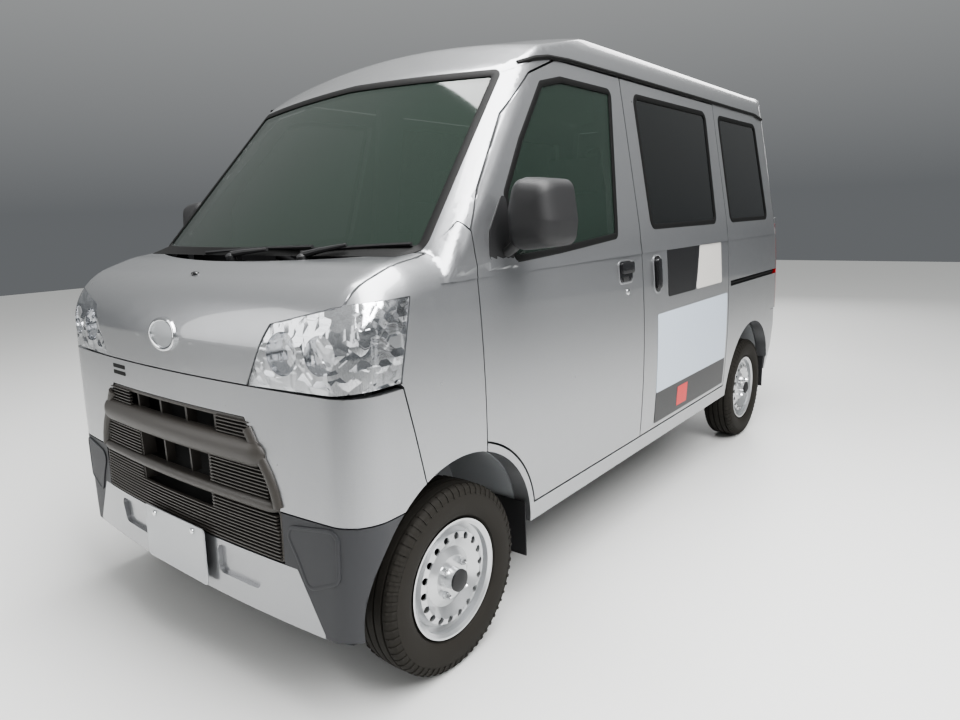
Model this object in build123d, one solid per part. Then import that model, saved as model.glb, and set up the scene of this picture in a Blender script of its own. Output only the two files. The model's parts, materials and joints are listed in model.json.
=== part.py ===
from build123d import *
import math
import os

# Kei cargo van with one short hood, two hinged front doors, two sliding doors and a lifting tailgate.
# Millimetres, +Z up, front towards -Y, the vehicle's left side towards +X.
# The origin is on the ground, under the middle of the overall length.

# Overall sizes
overall_length = 3395
body_width = 1475
overall_height = 1875
wheelbase = 2450
front_overhang = 395
track_front = 1305
track_rear = 1300
half_width = body_width / 2
front_axle_y = front_overhang - overall_length / 2
rear_axle_y = front_axle_y + wheelbase
tail_y = overall_length / 2

# Body form
body_foot_z = 240
belt_z = 1165
belt_tuck = 24.5
side_lean = 0.168
nose_sweep_r = 6000
nose_lean = 0.0357
nose_round_r = 190
nose_round_z = 925
nose_round_turn = 70
nose_swing = 9
bulge_z = 702
nose_corner_r = 90
hood_rear_mid = -163
hood_rear_z = 1132
hood_rear_side = -14
hood_rear_x = 640
shoulder_aft = 60
screen_sweep_r = 2250
screen_foot_aft = -102
screen_foot_z = 1136
screen_rake = 0.93
pillar_r = 72
body_tail_aft = 2945
tail_sweep_r = 9000
tail_corner_r = 80
tail_lean = 0.045
tail_top_r = 90
roof_crown_r = 3262
roof_shoulder_r = 85
cap_half = 640
cap_lean = 0.4
roof_front_caps = [
    # slope of the roof in degrees, a point on its crown: aft of the front axle, height
    (30, 430, 1696),
    (12, 640, 1806),
]

# Walls, gaps and glass
door_wall = 60
frame_wall = 36
nose_wall = 26
seam = 6.5
panel_gap = 4
glass_wall = 5
glass_sink = 3

# Doors, windows and arches, as distances aft of the front axle and heights
door_front_aft = 132
door_split_aft = 1118
slide_end_aft = 2068
door_foot_z = 362
door_top_z = 1700
sill_z = 297
front_arch_aft = 18
front_arch_z = 277
front_arch_r = 340
rear_arch_aft = wheelbase + 12
rear_arch_z = 285
rear_arch_r = 346
arch_flange = 28
window_foot_z = 1163
window_top_z = 1662
screen_top_z = 1655
screen_foot_half = 648
screen_top_half = 578
drip_z = 1712

# Wheels
tyre_r = 265
tyre_width = 145
rim_r = 167
rim_width = 118
bead_r = 154
wheel_offset = 45
bore_r = 30
stub_clearance = 0.5
stud_count = 4
stud_circle = 100
vent_count = 18
vent_r = 10
vent_circle_r = 118
kingpin_half = 600

# Floor and cab
cab_floor_z = 470
foot_floor_z = 600
cargo_floor_z = 635
floor_wall = 25
seat_shelf_z = 700
shelf_front_aft = 640
shelf_rear_aft = 1330
foot_end_aft = 2030

# Door hinges
hinge_back = 70
hinge_x = half_width - 10
hinge_z = 700
hinge_lean = 3


def aft(distance):
    return front_axle_y + distance


def block(x0, x1, y0, y1, z0, z1):
    return Pos((x0 + x1) / 2, (y0 + y1) / 2, (z0 + z1) / 2) * Box(x1 - x0, y1 - y0, z1 - z0)


def outline(points, radius):
    if radius:
        return make_face(FilletPolyline(*points, radius=radius, close=True))
    return make_face(Polyline(*points, close=True))


def side_prism(points, x0, x1, radius=0):
    # points are (y, z)
    view = Plane(origin=(x0, 0, 0), x_dir=(0, 1, 0), z_dir=(1, 0, 0))
    return extrude(view * outline(points, radius), amount=x1 - x0, dir=(1, 0, 0))


def front_prism(points, y0, y1, radius=0):
    # points are (x, z)
    view = Plane(origin=(0, y0, 0), x_dir=(1, 0, 0), z_dir=(0, -1, 0))
    return extrude(view * outline(points, radius), amount=y1 - y0, dir=(0, 1, 0))


def rod_x(x0, x1, y, z, radius):
    return Pos((x0 + x1) / 2, y, z) * Rot(0, 90, 0) * Cylinder(radius, x1 - x0)


def rod(start, end, radius):
    run = Vector(*end) - Vector(*start)
    return Plane(origin=start, z_dir=run) * Cylinder(radius, run.length, align=(Align.CENTER, Align.CENTER, Align.MIN))


def both_sides(solid):
    return solid + mirror(solid, about=Plane.YZ)


def plan_face(z, half, front_y, front_r, corner_r, rear_y, rear_r, rear_corner_r):
    def corner(end_y, sweep_r, radius, way):
        # way is -1 at the front and 1 at the rear
        centre_x = half - radius
        sweep_y = end_y - way * sweep_r
        centre_y = sweep_y + way * math.sqrt((sweep_r - radius) ** 2 - centre_x ** 2)
        grow = sweep_r / (sweep_r - radius)
        join = (centre_x * grow, sweep_y + (centre_y - sweep_y) * grow)
        turn = math.atan2(join[1] - centre_y, join[0] - centre_x) / 2
        middle = (centre_x + radius * math.cos(turn), centre_y + radius * math.sin(turn))
        return join, middle, (half, centre_y)

    def left(point):
        return (-point[0], point[1])

    nose, nose_mid, nose_side = corner(front_y, front_r, corner_r, -1)
    tail, tail_mid, tail_side = corner(rear_y, rear_r, rear_corner_r, 1)
    edges = [
        ThreePointArc(left(nose), (0, front_y), nose),
        ThreePointArc(nose, nose_mid, nose_side),
        Line(nose_side, tail_side),
        ThreePointArc(tail_side, tail_mid, tail),
        ThreePointArc(tail, (0, rear_y), left(tail)),
        ThreePointArc(left(tail), left(tail_mid), left(tail_side)),
        Line(left(tail_side), left(nose_side)),
        ThreePointArc(left(nose_side), left(nose_mid), left(nose)),
    ]
    return Pos(0, 0, z) * make_face(edges)


def nose_y(z):
    return -overall_length / 2 + nose_lean * (z - body_foot_z)


def lower_form(inset, rounded=True):
    # the side bulges on one large arc; the nose and hood profile is turned round a far axis, so it is bowed in plan
    low_z = body_foot_z - inset
    top_z = belt_z - inset
    bulge = half_width - inset
    foot = bulge - belt_tuck
    section = make_face([
        ThreePointArc((-foot, low_z), (-bulge, bulge_z), (-foot, top_z)),
        Line((-foot, top_z), (foot, top_z)),
        ThreePointArc((foot, top_z), (bulge, bulge_z), (foot, low_z)),
        Line((foot, low_z), (-foot, low_z)),
    ])
    tail = aft(body_tail_aft) - inset
    nose_reach = 2000
    view = Plane(origin=(0, -nose_reach, 0), x_dir=(1, 0, 0), z_dir=(0, -1, 0))
    body = extrude(view * section, amount=nose_reach + tail, dir=(0, 1, 0))
    start = (nose_y(body_foot_z - 200) + inset, body_foot_z - 200)
    bend = (nose_y(nose_round_z) + inset, nose_round_z)
    round_r = nose_round_r - inset / 2
    turn = math.radians(nose_round_turn)
    middle = (bend[0] + round_r * (1 - math.cos(turn / 2)), bend[1] + round_r * math.sin(turn / 2) - inset / 2)
    end = (bend[0] + round_r * (1 - math.cos(turn)), bend[1] + round_r * math.sin(turn) - inset / 2)
    top = (aft(hood_rear_mid), hood_rear_z - inset)
    shoulder = (aft(shoulder_aft), top_z + 1)
    far = (tail + 200, top_z + 1)
    profile = make_face([
        Line(start, bend), ThreePointArc(bend, middle, end), Line(end, top), Line(top, shoulder),
        Line(shoulder, far), Line(far, (far[0], start[1])), Line((far[0], start[1]), start),
    ])
    side_view = Plane(origin=(0, 0, 0), x_dir=(0, 1, 0), z_dir=(1, 0, 0))
    far_axis = Axis((0, nose_sweep_r - overall_length / 2, 0), (0, 0, 1))
    swung = (side_view * profile).rotate(far_axis, -nose_swing)
    bow = revolve(swung, axis=far_axis, revolution_arc=2 * nose_swing)
    reach = aft(700)
    front = (body & block(-900, 900, -nose_reach, reach, low_z - 10, 1300)) & bow
    rear = body & block(-900, 900, reach, 2000, low_z - 10, 1300)
    if rounded:
        corners = [
            e for e in front.edges()
            if e.center().Y < aft(shoulder_aft) + 30 and abs(e.center().X) > 600 and e.center().Z > low_z + 5]
        front = fillet(corners, nose_corner_r - inset)
        tails = [e for e in rear.edges() if e.center().Y > tail - 5 and abs(e.center().X) > 600]
        rear = fillet(tails, tail_corner_r - inset / 2)
    return front + rear


def upper_form(inset, top_inset):
    faces = []
    low_z = belt_z - door_wall - 30
    for z in (low_z, overall_height + 60):
        front_y = aft(screen_foot_aft) + screen_rake * (z - screen_foot_z) + inset * math.hypot(1, screen_rake)
        half = half_width - belt_tuck - side_lean * (z - belt_z) - inset
        rear_y = aft(body_tail_aft) - tail_lean * (z - belt_z) - inset
        faces.append(plan_face(
            z, half, front_y, screen_sweep_r, pillar_r - inset / 2, rear_y, tail_sweep_r, tail_corner_r - inset / 2))
    body = loft(faces, ruled=True)
    crown_z = overall_height - top_inset
    corner_x = half_width - belt_tuck - side_lean * (1819 - belt_z) - inset + 0.5
    body = body & roof_cap(crown_z, corner_x, side_lean, 0, aft(1400), crown_z)
    for slope, at, height in roof_front_caps:
        body = body & roof_cap(crown_z, cap_half - inset, cap_lean, slope, aft(at), height - top_inset)
    tail = side_prism([
        (-2000, 900), (aft(body_tail_aft) + 60, 900),
        (aft(body_tail_aft) - tail_lean * (crown_z + 5 - belt_z) - inset + 0.5, crown_z + 5), (-2000, crown_z + 5),
    ], -900, 900)
    rear_edges = tail.edges().filter_by(Axis.X).sort_by(SortBy.DISTANCE)
    top_rear = [e for e in rear_edges if e.center().Z > crown_z and e.center().Y > 0]
    tail = fillet(top_rear, tail_top_r)
    return body & tail


def roof_cap(crown_z, corner_x, lean, slope, at_y, height):
    corner_z = crown_z - corner_x ** 2 / (2 * roof_crown_r)
    drop = 1.2 * overall_length
    foot = corner_x + lean * drop
    face = make_face([
        ThreePointArc((-corner_x, corner_z), (0, crown_z), (corner_x, corner_z)),
        Line((corner_x, corner_z), (foot, corner_z - drop)),
        Line((foot, corner_z - drop), (-foot, corner_z - drop)),
        Line((-foot, corner_z - drop), (-corner_x, corner_z)),
    ])
    face = fillet([v for v in face.vertices() if v.Y > corner_z - 10], roof_shoulder_r)
    view = Plane(origin=(0, 0, 0), x_dir=(1, 0, 0), z_dir=(0, -1, 0))
    angle = math.radians(slope)
    run = 1.1 * overall_length
    start = Pos(0, at_y - run * math.cos(angle), height - crown_z - run * math.sin(angle))
    return extrude(start * (view * face), amount=2 * run, dir=(0, math.cos(angle), math.sin(angle)))


def shut_line(points, grow=0):
    # a side view outline moved outwards by the width of its shut line
    face = make_face(Polyline(*[(aft(y), z) for y, z in points], close=True))
    if grow:
        face = offset(face, amount=grow, kind=Kind.INTERSECTION)
    return face


def side_cut(face, x0=380, x1=900):
    view = Plane(origin=(x0, 0, 0), x_dir=(0, 1, 0), z_dir=(1, 0, 0))
    return extrude(view * face, amount=x1 - x0, dir=(1, 0, 0))


def window_face(points, radius):
    return make_face(FilletPolyline(*[(aft(y), z) for y, z in points], radius=radius, close=True))


def arch_cut(aft_y, z, radius, x0=380, x1=900):
    return rod_x(x0, x1, aft(aft_y), z, radius)


door_top_z = drip_z - seam
front_door_points = [
    # aft of the front axle, height
    (door_front_aft, door_foot_z), (door_split_aft, door_foot_z), (door_split_aft, door_top_z),
    (690, door_top_z), (525, 1645), (365, 1515), (194, 1306), (door_front_aft, 1200),
]
slide_front_aft = door_split_aft + seam
sliding_door_points = [
    (slide_front_aft, door_foot_z), (slide_end_aft, door_foot_z),
    (slide_end_aft, door_top_z), (slide_front_aft, door_top_z),
]
sail_end_aft = 300
front_window_points = [
    (sail_end_aft, 1104), (sail_end_aft, 1296), (416, 1450), (575, window_top_z - 34), (700, window_top_z - 6),
    (1040, window_top_z - 6), (938, 1142), (560, 1116),
]
sliding_window_points = [(1222, window_foot_z), (1930, window_foot_z), (1962, window_top_z), (1216, window_top_z)]
quarter_window_points = [(2122, window_foot_z), (2724, window_foot_z), (2690, window_top_z), (2122, window_top_z)]
window_corner_r = 38

# The whole skin, hollow
outer = lower_form(0) + upper_form(0, 0)
hollow = lower_form(door_wall, rounded=False) + upper_form(frame_wall, frame_wall)
shell = outer - hollow
nose_reach = aft(door_front_aft) - panel_gap
nose_hollow = lower_form(nose_wall) + upper_form(nose_wall, nose_wall)
nose_box = block(-900, 900, -1800, nose_reach, 200, 1300)
nose = (outer & nose_box) - nose_hollow
pane = upper_form(glass_sink, glass_sink) - upper_form(glass_sink + glass_wall, glass_sink + glass_wall)

arches = both_sides(arch_cut(front_arch_aft, front_arch_z, front_arch_r))
arches = arches + both_sides(arch_cut(rear_arch_aft, rear_arch_z, rear_arch_r))
front_flange = arch_cut(front_arch_aft, front_arch_z, front_arch_r + arch_flange)
rear_flange = arch_cut(rear_arch_aft, rear_arch_z, rear_arch_r + arch_flange)

# Doors
front_door_cut = side_cut(shut_line(front_door_points)) - front_flange
sliding_door_cut = side_cut(shut_line(sliding_door_points)) - rear_flange
front_window = side_cut(window_face(front_window_points, window_corner_r * 0.6))
sliding_window = side_cut(window_face(sliding_window_points, window_corner_r))
quarter_window = side_cut(window_face(quarter_window_points, window_corner_r))
front_door = (shell & front_door_cut) - front_window
front_door_right = (shell & mirror(front_door_cut, about=Plane.YZ)) - mirror(front_window, about=Plane.YZ)
sliding_door = (shell & sliding_door_cut) - sliding_window
door_glass = pane & side_cut(offset(window_face(front_window_points, window_corner_r * 0.6), amount=-0.5))
sliding_glass = pane & side_cut(offset(window_face(sliding_window_points, window_corner_r), amount=-0.5))
quarter_glass = pane & side_cut(offset(window_face(quarter_window_points, window_corner_r), amount=-0.5))

# Screen opening and the pane in it
screen_foot_edge = screen_foot_z + 10


def screen_zone(grow):
    points = [
        (-screen_foot_half - grow, screen_foot_edge - grow), (screen_foot_half + grow, screen_foot_edge - grow),
        (screen_top_half + grow, screen_top_z + grow), (0, screen_top_z + 24 + grow),
        (-screen_top_half - grow, screen_top_z + grow),
    ]
    return front_prism(points, aft(-500), aft(620), radius=30)


screen_hole = screen_zone(0)
windscreen = pane & screen_zone(-0.5)

# Hood, lamps, bumper and fenders are cut out of the nose
hood_points = [
    (-375, 849), (375, 849), (460, 1003), (662, 1050), (642, 1400), (-642, 1400), (-662, 1050), (-460, 1003),
]


def ahead_of_hood_edge(shift):
    mid = aft(hood_rear_mid) + shift
    side = aft(hood_rear_side) + shift
    face = make_face([
        ThreePointArc((-hood_rear_x, side), (0, mid), (hood_rear_x, side)),
        Line((hood_rear_x, side), (hood_rear_x + 150, side + 70)),
        Line((hood_rear_x + 150, side + 70), (hood_rear_x + 150, -1900)),
        Line((hood_rear_x + 150, -1900), (-hood_rear_x - 150, -1900)),
        Line((-hood_rear_x - 150, -1900), (-hood_rear_x - 150, side + 70)),
        Line((-hood_rear_x - 150, side + 70), (-hood_rear_x, side)),
    ])
    return extrude(Pos(0, 0, 700) * face, amount=800, dir=(0, 0, 1))


def hood_zone(grow):
    face = make_face(Polyline(*hood_points, close=True))
    if grow:
        face = offset(face, amount=grow, kind=Kind.INTERSECTION)
    view = Plane(origin=(0, -1900, 0), x_dir=(1, 0, 0), z_dir=(0, -1, 0))
    return extrude(view * face, amount=1200, dir=(0, 1, 0)) & ahead_of_hood_edge(grow)


lamp_points = [(377, 848), (463, 1003), (662, 1050), (760, 1058), (760, 862), (660, 852)]


def lamp_zone(grow):
    face = make_face(Polyline(*lamp_points, close=True))
    if grow:
        face = offset(face, amount=grow, kind=Kind.INTERSECTION)
    view = Plane(origin=(0, -1900, 0), x_dir=(1, 0, 0), z_dir=(0, -1, 0))
    limit = side_prism([
        (-1900, 700), (aft(-150) + grow, 700), (aft(-183) + grow, 861), (aft(-128) + grow, 1052),
        (aft(-110) + grow, 1200), (-1900, 1200)], 0, 900)
    return extrude(view * face, amount=1200, dir=(0, 1, 0)) & limit


bumper_top = 845
bumper_split = 541
bumper_zone = side_prism([
    (-1900, bumper_split), (aft(-100), bumper_split), (aft(-123), 600), (aft(-181), bumper_top), (-1900, bumper_top),
], -900, 900)
lower_zone = side_prism([
    (-1900, 200), (aft(60), 200), (aft(60), bumper_split - panel_gap), (-1900, bumper_split - panel_gap),
], -900, 900)
grille_points = [(-354, 762), (354, 762), (472, 530), (472, 404), (-472, 404), (-472, 530)]
garnish_points = [(-604, 200), (604, 200), (604, 250), (520, 400), (-520, 400), (-604, 250)]


def front_cut(points, grow=0):
    face = make_face(Polyline(*points, close=True))
    if grow:
        face = offset(face, amount=grow, kind=Kind.INTERSECTION)
    view = Plane(origin=(0, -1900, 0), x_dir=(1, 0, 0), z_dir=(0, -1, 0))
    return extrude(view * face, amount=500, dir=(0, 1, 0))


lamp_pair = both_sides(lamp_zone(0))
lamp_hole = both_sides(lamp_zone(panel_gap / 2))
hood = nose & hood_zone(0)
bumper_cover = (nose & bumper_zone) - front_cut(grille_points, 3) - arches
lower_bumper = (nose & lower_zone) - front_cut(grille_points, 3) - front_cut(garnish_points, 1) - arches
lower_garnish = (nose & lower_zone) & front_cut(garnish_points)
pocket_points = [(192, 302), (366, 302), (390, 380), (192, 386)]
pocket_depth = 12
pocket = front_prism(pocket_points, -1900, aft(-300), radius=20) - Pos(0, pocket_depth, 0) * outer
lower_garnish = lower_garnish - both_sides(pocket)
fender_zone = side_prism([
    (aft(-119), 600), (aft(-100), bumper_split), (aft(60), 300), (nose_reach, 300), (nose_reach, 1197),
    (aft(100), 1222), (aft(3), 1150), (aft(-60), 1145), (aft(-400), 1145), (aft(-400), 1040), (aft(-177), bumper_top + 4),
], -900, 900)
fenders = (nose & fender_zone) - hood_zone(seam) - lamp_hole - arches - screen_hole - block(-560, 560, -1900, 0, 0, 1300)
lens_wall = 3
lens_inside = lower_form(lens_wall)
headlamp_lenses = (outer - lens_inside) & lamp_pair
headlamp_housings = (lens_inside & lamp_pair) - hollow
lamp_bowls = [
    # centre across, height, radius
    (505, 935, 52),
    (628, 940, 46),
]
for across, height, radius in lamp_bowls:
    bowl = Pos(across, aft(-395), height) * Rot(90, 0, 0) * Cylinder(radius, 150)
    headlamp_housings = headlamp_housings - both_sides(bowl)

# Cowl and wipers
cowl_z = 1126
cowl_wall = 24


def screen_line(shift):
    return [(-640, aft(screen_foot_aft) + shift + 640 ** 2 / (2 * screen_sweep_r)), (0, aft(screen_foot_aft) + shift),
            (640, aft(screen_foot_aft) + shift + 640 ** 2 / (2 * screen_sweep_r))]


cowl_band = extrude(Pos(0, 0, cowl_z - cowl_wall) * make_face([
    ThreePointArc(*screen_line(6)),
    Line(screen_line(6)[2], (640, aft(-330))),
    Line((640, aft(-330)), (-640, aft(-330))),
    Line((-640, aft(-330)), screen_line(6)[0]),
]), amount=cowl_wall, dir=(0, 0, 1))
cowl = (cowl_band & nose_hollow) - ahead_of_hood_edge(seam)

wiper_z = cowl_z + 16
blade_lift = 34
blade_r = 6
spindle_r = 10
wipers = Part()
for pivot_x, tip_x in ((-20, 380), (313, 600)):
    hood_edge = aft(hood_rear_mid) + (hood_rear_side - hood_rear_mid) * (pivot_x / hood_rear_x) ** 2
    glass_edge = aft(screen_foot_aft) + pivot_x ** 2 / (2 * screen_sweep_r)
    pivot_y = (hood_edge + glass_edge) / 2 + 3
    tip_z = wiper_z + blade_lift
    tip_y = aft(screen_foot_aft) + tip_x ** 2 / (2 * screen_sweep_r) + screen_rake * (tip_z - screen_foot_z) - 14
    spindle = rod((pivot_x, pivot_y, cowl_z), (pivot_x, pivot_y, wiper_z + 8), spindle_r)
    wipers = wipers + (spindle + rod((pivot_x, pivot_y, wiper_z), (tip_x, tip_y, tip_z), blade_r))

# Side panels, roof and tailgate are cut out of the same shell
side_zone = side_prism([
    (aft(3), 1150), (aft(100), 1226), (aft(door_front_aft), 1201), (aft(door_front_aft), sill_z),
    (aft(body_tail_aft) + 90, sill_z), (aft(body_tail_aft) + 90, drip_z - 1), (aft(690), drip_z - 1),
    (aft(560), 1689), (aft(452), 1648), (aft(380), 1600), (aft(-60), 1150),
], -900, 900)
roof_zone = side_prism([
    (aft(300), 1950), (aft(300), 1560), (aft(380), 1601), (aft(452), 1649), (aft(560), 1690), (aft(690), drip_z),
    (aft(body_tail_aft) + 90, drip_z), (aft(body_tail_aft) + 90, 1950),
], -900, 900)
front_door_gap = side_cut(shut_line(front_door_points, seam)) - arch_cut(
    front_arch_aft, front_arch_z, front_arch_r + arch_flange - seam)
sliding_door_gap = side_cut(shut_line(sliding_door_points, seam)) - arch_cut(
    rear_arch_aft, rear_arch_z, rear_arch_r + arch_flange - seam)
gate_foot_z = 662
gate_top_z = 1738
gate_points = [
    # across, height
    (-612, gate_foot_z), (612, gate_foot_z), (612, 1150), (548, gate_top_z), (-548, gate_top_z), (-612, 1150),
]
gate_window_points = [(-560, 1170), (560, 1170), (512, 1640), (-512, 1640)]
lamp_tail_points = [(632, 668), (760, 668), (760, 1130), (632, 1130)]


def rear_cut(points, grow=0, radius=0, front=2840):
    face = outline(points, radius)
    if grow:
        face = offset(face, amount=grow, kind=Kind.INTERSECTION)
    view = Plane(origin=(0, aft(front), 0), x_dir=(1, 0, 0), z_dir=(0, -1, 0))
    return extrude(view * face, amount=400, dir=(0, 1, 0))


tail_lamp_cut = both_sides(rear_cut(lamp_tail_points) & block(0, 900, aft(2868), 3000, 600, 1200))
tail_lamp_gap = both_sides(rear_cut(lamp_tail_points, 1) & block(0, 900, aft(2867), 3000, 600, 1200))
bumper_front_aft = 2800
rear_bumper_top = 650
bumper_gap = block(-900, 900, aft(bumper_front_aft) - panel_gap, 3000, 0, gate_foot_z - seam)
tailgate = (shell & rear_cut(gate_points)) - rear_cut(gate_window_points, radius=40)
tailgate_glass = (pane & rear_cut(gate_window_points, -0.5, radius=40)) & block(-900, 900, aft(2880), 3000, 1100, 1800)
tail_lamps = (outer - nose_hollow) & tail_lamp_cut
side_panels = shell & side_zone
side_panels = side_panels - both_sides(front_door_gap) - both_sides(sliding_door_gap) - both_sides(quarter_window)
side_panels = side_panels - arches - screen_hole - rear_cut(gate_points, seam) - tail_lamp_gap - bumper_gap
side_panels = side_panels - block(-420, 420, aft(2700), 3000, 1600, 1900)
roof = (shell & roof_zone) - screen_hole - rear_cut(gate_points, seam)

# Drip mouldings and the rails of the sliding doors
rail_z = 868
rail_height = 26
rail_groove = both_sides(block(half_width - 30, 900, aft(2100), aft(2870), rail_z - rail_height / 2, rail_z + rail_height / 2))
side_panels = side_panels - rail_groove

# Rear bumper
bumper_sections = [
    # height, half width, rear edge aft, corner radius
    (300, 712, 2950, 120),
    (430, 724, 2990, 110),
    (560, 731, 3000, 110),
    (rear_bumper_top, 733, 2985, 110),
]


def rear_bumper_form(inset):
    faces = [
        plan_face(
            z, half - inset, aft(2000), nose_sweep_r, 60,
            aft(rear) - inset, tail_sweep_r, corner_r - inset)
        for z, half, rear, corner_r in bumper_sections
    ]
    return loft(faces, ruled=True)


bumper_wall = 30
rear_bumper = (rear_bumper_form(0) - rear_bumper_form(bumper_wall)) & block(
    -900, 900, aft(bumper_front_aft), tail_y, 200, rear_bumper_top - panel_gap)

# Door mirrors and handles
mirror_points = [(752, 1135), (892, 1150), (900, 1215), (884, 1322), (770, 1335), (748, 1250)]
mirror_body = front_prism(mirror_points, aft(225), aft(352), radius=24)
mirror_arm = block(700, 790, aft(232), aft(sail_end_aft), 1112, 1152) - outer
handle_cut = block(712, 760, aft(940), aft(1030), 990, 1048)
handle = outer & handle_cut
front_door = front_door - handle_cut
front_door_right = front_door_right - mirror(handle_cut, about=Plane.YZ)
front_door_trim = (mirror_body + mirror_arm) + handle

# Floor: cab floor with the seat shelf behind it, cargo floor and the boxes over the wheels
floor_half = 660
front_box_half = 420
rear_box_half = 470
dash_wall_aft = -235
floor_plates = [
    # aft start and end, underside and top
    (dash_wall_aft, dash_wall_aft + floor_wall, cab_floor_z - floor_wall, 1095),
    (dash_wall_aft + floor_wall, shelf_front_aft - floor_wall, cab_floor_z - floor_wall, cab_floor_z),
    (shelf_front_aft - floor_wall, shelf_front_aft, cab_floor_z - floor_wall, seat_shelf_z - floor_wall),
    (shelf_front_aft - floor_wall, shelf_rear_aft, seat_shelf_z - floor_wall, seat_shelf_z),
    (shelf_rear_aft - floor_wall, shelf_rear_aft, foot_floor_z, seat_shelf_z - floor_wall),
    (shelf_rear_aft - floor_wall, foot_end_aft, foot_floor_z - floor_wall, foot_floor_z),
    (foot_end_aft, foot_end_aft + floor_wall, foot_floor_z - floor_wall, cargo_floor_z - floor_wall),
    (foot_end_aft, 2880, cargo_floor_z - floor_wall, cargo_floor_z),
]
wheel_boxes = [
    # arch aft, height, radius, half width between the boxes
    (front_arch_aft, front_arch_z, front_arch_r, front_box_half),
    (rear_arch_aft, rear_arch_z, rear_arch_r, rear_box_half),
]
box_rooms = Part()
floor_pieces = []
for arch_at, arch_z, arch_r, box_half in wheel_boxes:
    room = rod_x(box_half - floor_wall, half_width - door_wall - 8, aft(arch_at), arch_z, arch_r + floor_wall)
    room -= block(-900, 900, aft(arch_at) - 500, aft(arch_at) + 500, 0, arch_z)
    box_rooms += both_sides(room)
    floor_pieces.append(both_sides(room - rod_x(box_half, 900, aft(arch_at), arch_z, arch_r)))
for start, end, low, high in floor_plates:
    floor_pieces.append(block(-floor_half, floor_half, aft(start), aft(end), low, high) - box_rooms)
trim_clear = 6
lined = (Pos(trim_clear, 0, 0) * hollow) & (Pos(-trim_clear, 0, 0) * hollow)
floor_limit = lined - hood_zone(60)

# Posts inside the skin: the hinge post behind each fender and the post between the two doors
hinge_post = side_prism([
    (aft(66), 1150), (aft(door_front_aft) - seam, 1150), (aft(door_front_aft) - seam, 626),
    (aft(door_front_aft) + 8, 616), (aft(door_front_aft) + 8, 560), (aft(66), 560),
], 600, 760) & nose_hollow
hinge_post -= arch_cut(front_arch_aft, front_arch_z, front_arch_r)
post_wall = 34
mid_post = block(400, 900, aft(door_split_aft) - 70, aft(door_split_aft) + 76, sill_z + 20, drip_z + 30)
mid_post = (mid_post & lined) - Pos(-post_wall, 0, 0) * lined
mid_post_foot = block(560, 735 - door_wall + 40, aft(door_split_aft) - 70, aft(door_split_aft) + 76, sill_z, door_foot_z - seam - 1)
side_panels += both_sides(hinge_post) + both_sides(mid_post) + both_sides(mid_post_foot & lower_form(1))
floor_limit -= both_sides(mid_post) + both_sides(hinge_post)

# Seats and dashboard
seat_z = 712
seat_aft = 640
seat_depth = 470
seat_width = 450
seat_height = 110
back_height = 560
seat_lean = 12
seats = Part()
for middle_x in (-330, 330):
    cushion = block(middle_x - seat_width / 2, middle_x + seat_width / 2, aft(seat_aft), aft(seat_aft + seat_depth),
                    seat_z, seat_z + seat_height)
    cushion = fillet(cushion.edges().filter_by(Axis.Z), 40)
    back = Pos(middle_x, aft(seat_aft + seat_depth + 2), seat_z + 60) * Rot(-seat_lean, 0, 0) * Box(
        seat_width, 100, back_height, align=(Align.CENTER, Align.MIN, Align.MIN))
    rest = Pos(middle_x, aft(seat_aft + seat_depth + 2), seat_z + 60) * Rot(-seat_lean, 0, 0) * Pos(
        0, 20, back_height + 1) * Box(250, 70, 150, align=(Align.CENTER, Align.MIN, Align.MIN))
    seats = seats + cushion + (back + rest)
bench_aft = 1640
bench_half = 560
seats += block(-bench_half, bench_half, aft(bench_aft), aft(bench_aft + 420), cargo_floor_z + 150, cargo_floor_z + 230)
seats += block(-bench_half + 60, -bench_half + 90, aft(bench_aft + 20), aft(bench_aft + 350), foot_floor_z, cargo_floor_z + 150)
seats += block(bench_half - 90, bench_half - 60, aft(bench_aft + 20), aft(bench_aft + 350), foot_floor_z, cargo_floor_z + 150)
seats += Pos(0, aft(bench_aft + 421), cargo_floor_z + 180) * Rot(-10, 0, 0) * Box(
    2 * bench_half, 80, 420, align=(Align.CENTER, Align.MIN, Align.MIN))

dash_half = 592
dash_points = [
    # aft of the front axle, height
    (-150, 1085), (40, 1118), (150, 1090), (196, 1010), (180, 860), (110, 760), (-150, 740),
]
dashboard = side_prism([(aft(y), z) for y, z in dash_points], -dash_half, dash_half, radius=20)
dashboard = dashboard & lined & nose_hollow
dashboard -= side_prism([(aft(-200), 1300), (aft(-200), 1076), (aft(-120), 1094), (aft(20), 1300)], -900, 900)
binnacle = block(-480, -180, aft(20), aft(150), 1090, 1150)
dashboard += binnacle

# Steering wheel and its column, on the vehicle's right
steer_x = -330
steer_y = aft(330)
steer_z = 1010
steer_tilt = 48
steer_r = 185
column = Plane(
    origin=(steer_x, steer_y, steer_z),
    x_dir=(1, 0, 0), z_dir=(0, math.cos(math.radians(steer_tilt)), math.sin(math.radians(steer_tilt))))
column_tube = column * Pos(0, 0, -260) * Cylinder(32, 210, align=(Align.CENTER, Align.CENTER, Align.MIN))
column_tube -= column * Pos(0, 0, -150) * Cylinder(12.5, 300, align=(Align.CENTER, Align.CENTER, Align.MIN))
dashboard += column_tube
ring_section = Plane.XZ * Pos(steer_r, 0) * RegularPolygon(14, 8)
steering_wheel = column * revolve(ring_section, axis=Axis.Z, revolution_arc=360)
steering_wheel += column * Pos(0, 0, -30) * Cylinder(55, 44, align=(Align.CENTER, Align.CENTER, Align.MIN))
steering_wheel += column * Pos(0, 0, -110) * Cylinder(12, 90, align=(Align.CENTER, Align.CENTER, Align.MIN))
for angle in (0, 180, 270):
    spoke = Rot(0, 0, angle) * Pos(steer_r / 2 + 10, 0, -8) * Box(steer_r - 30, 34, 16)
    steering_wheel += column * spoke

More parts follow.
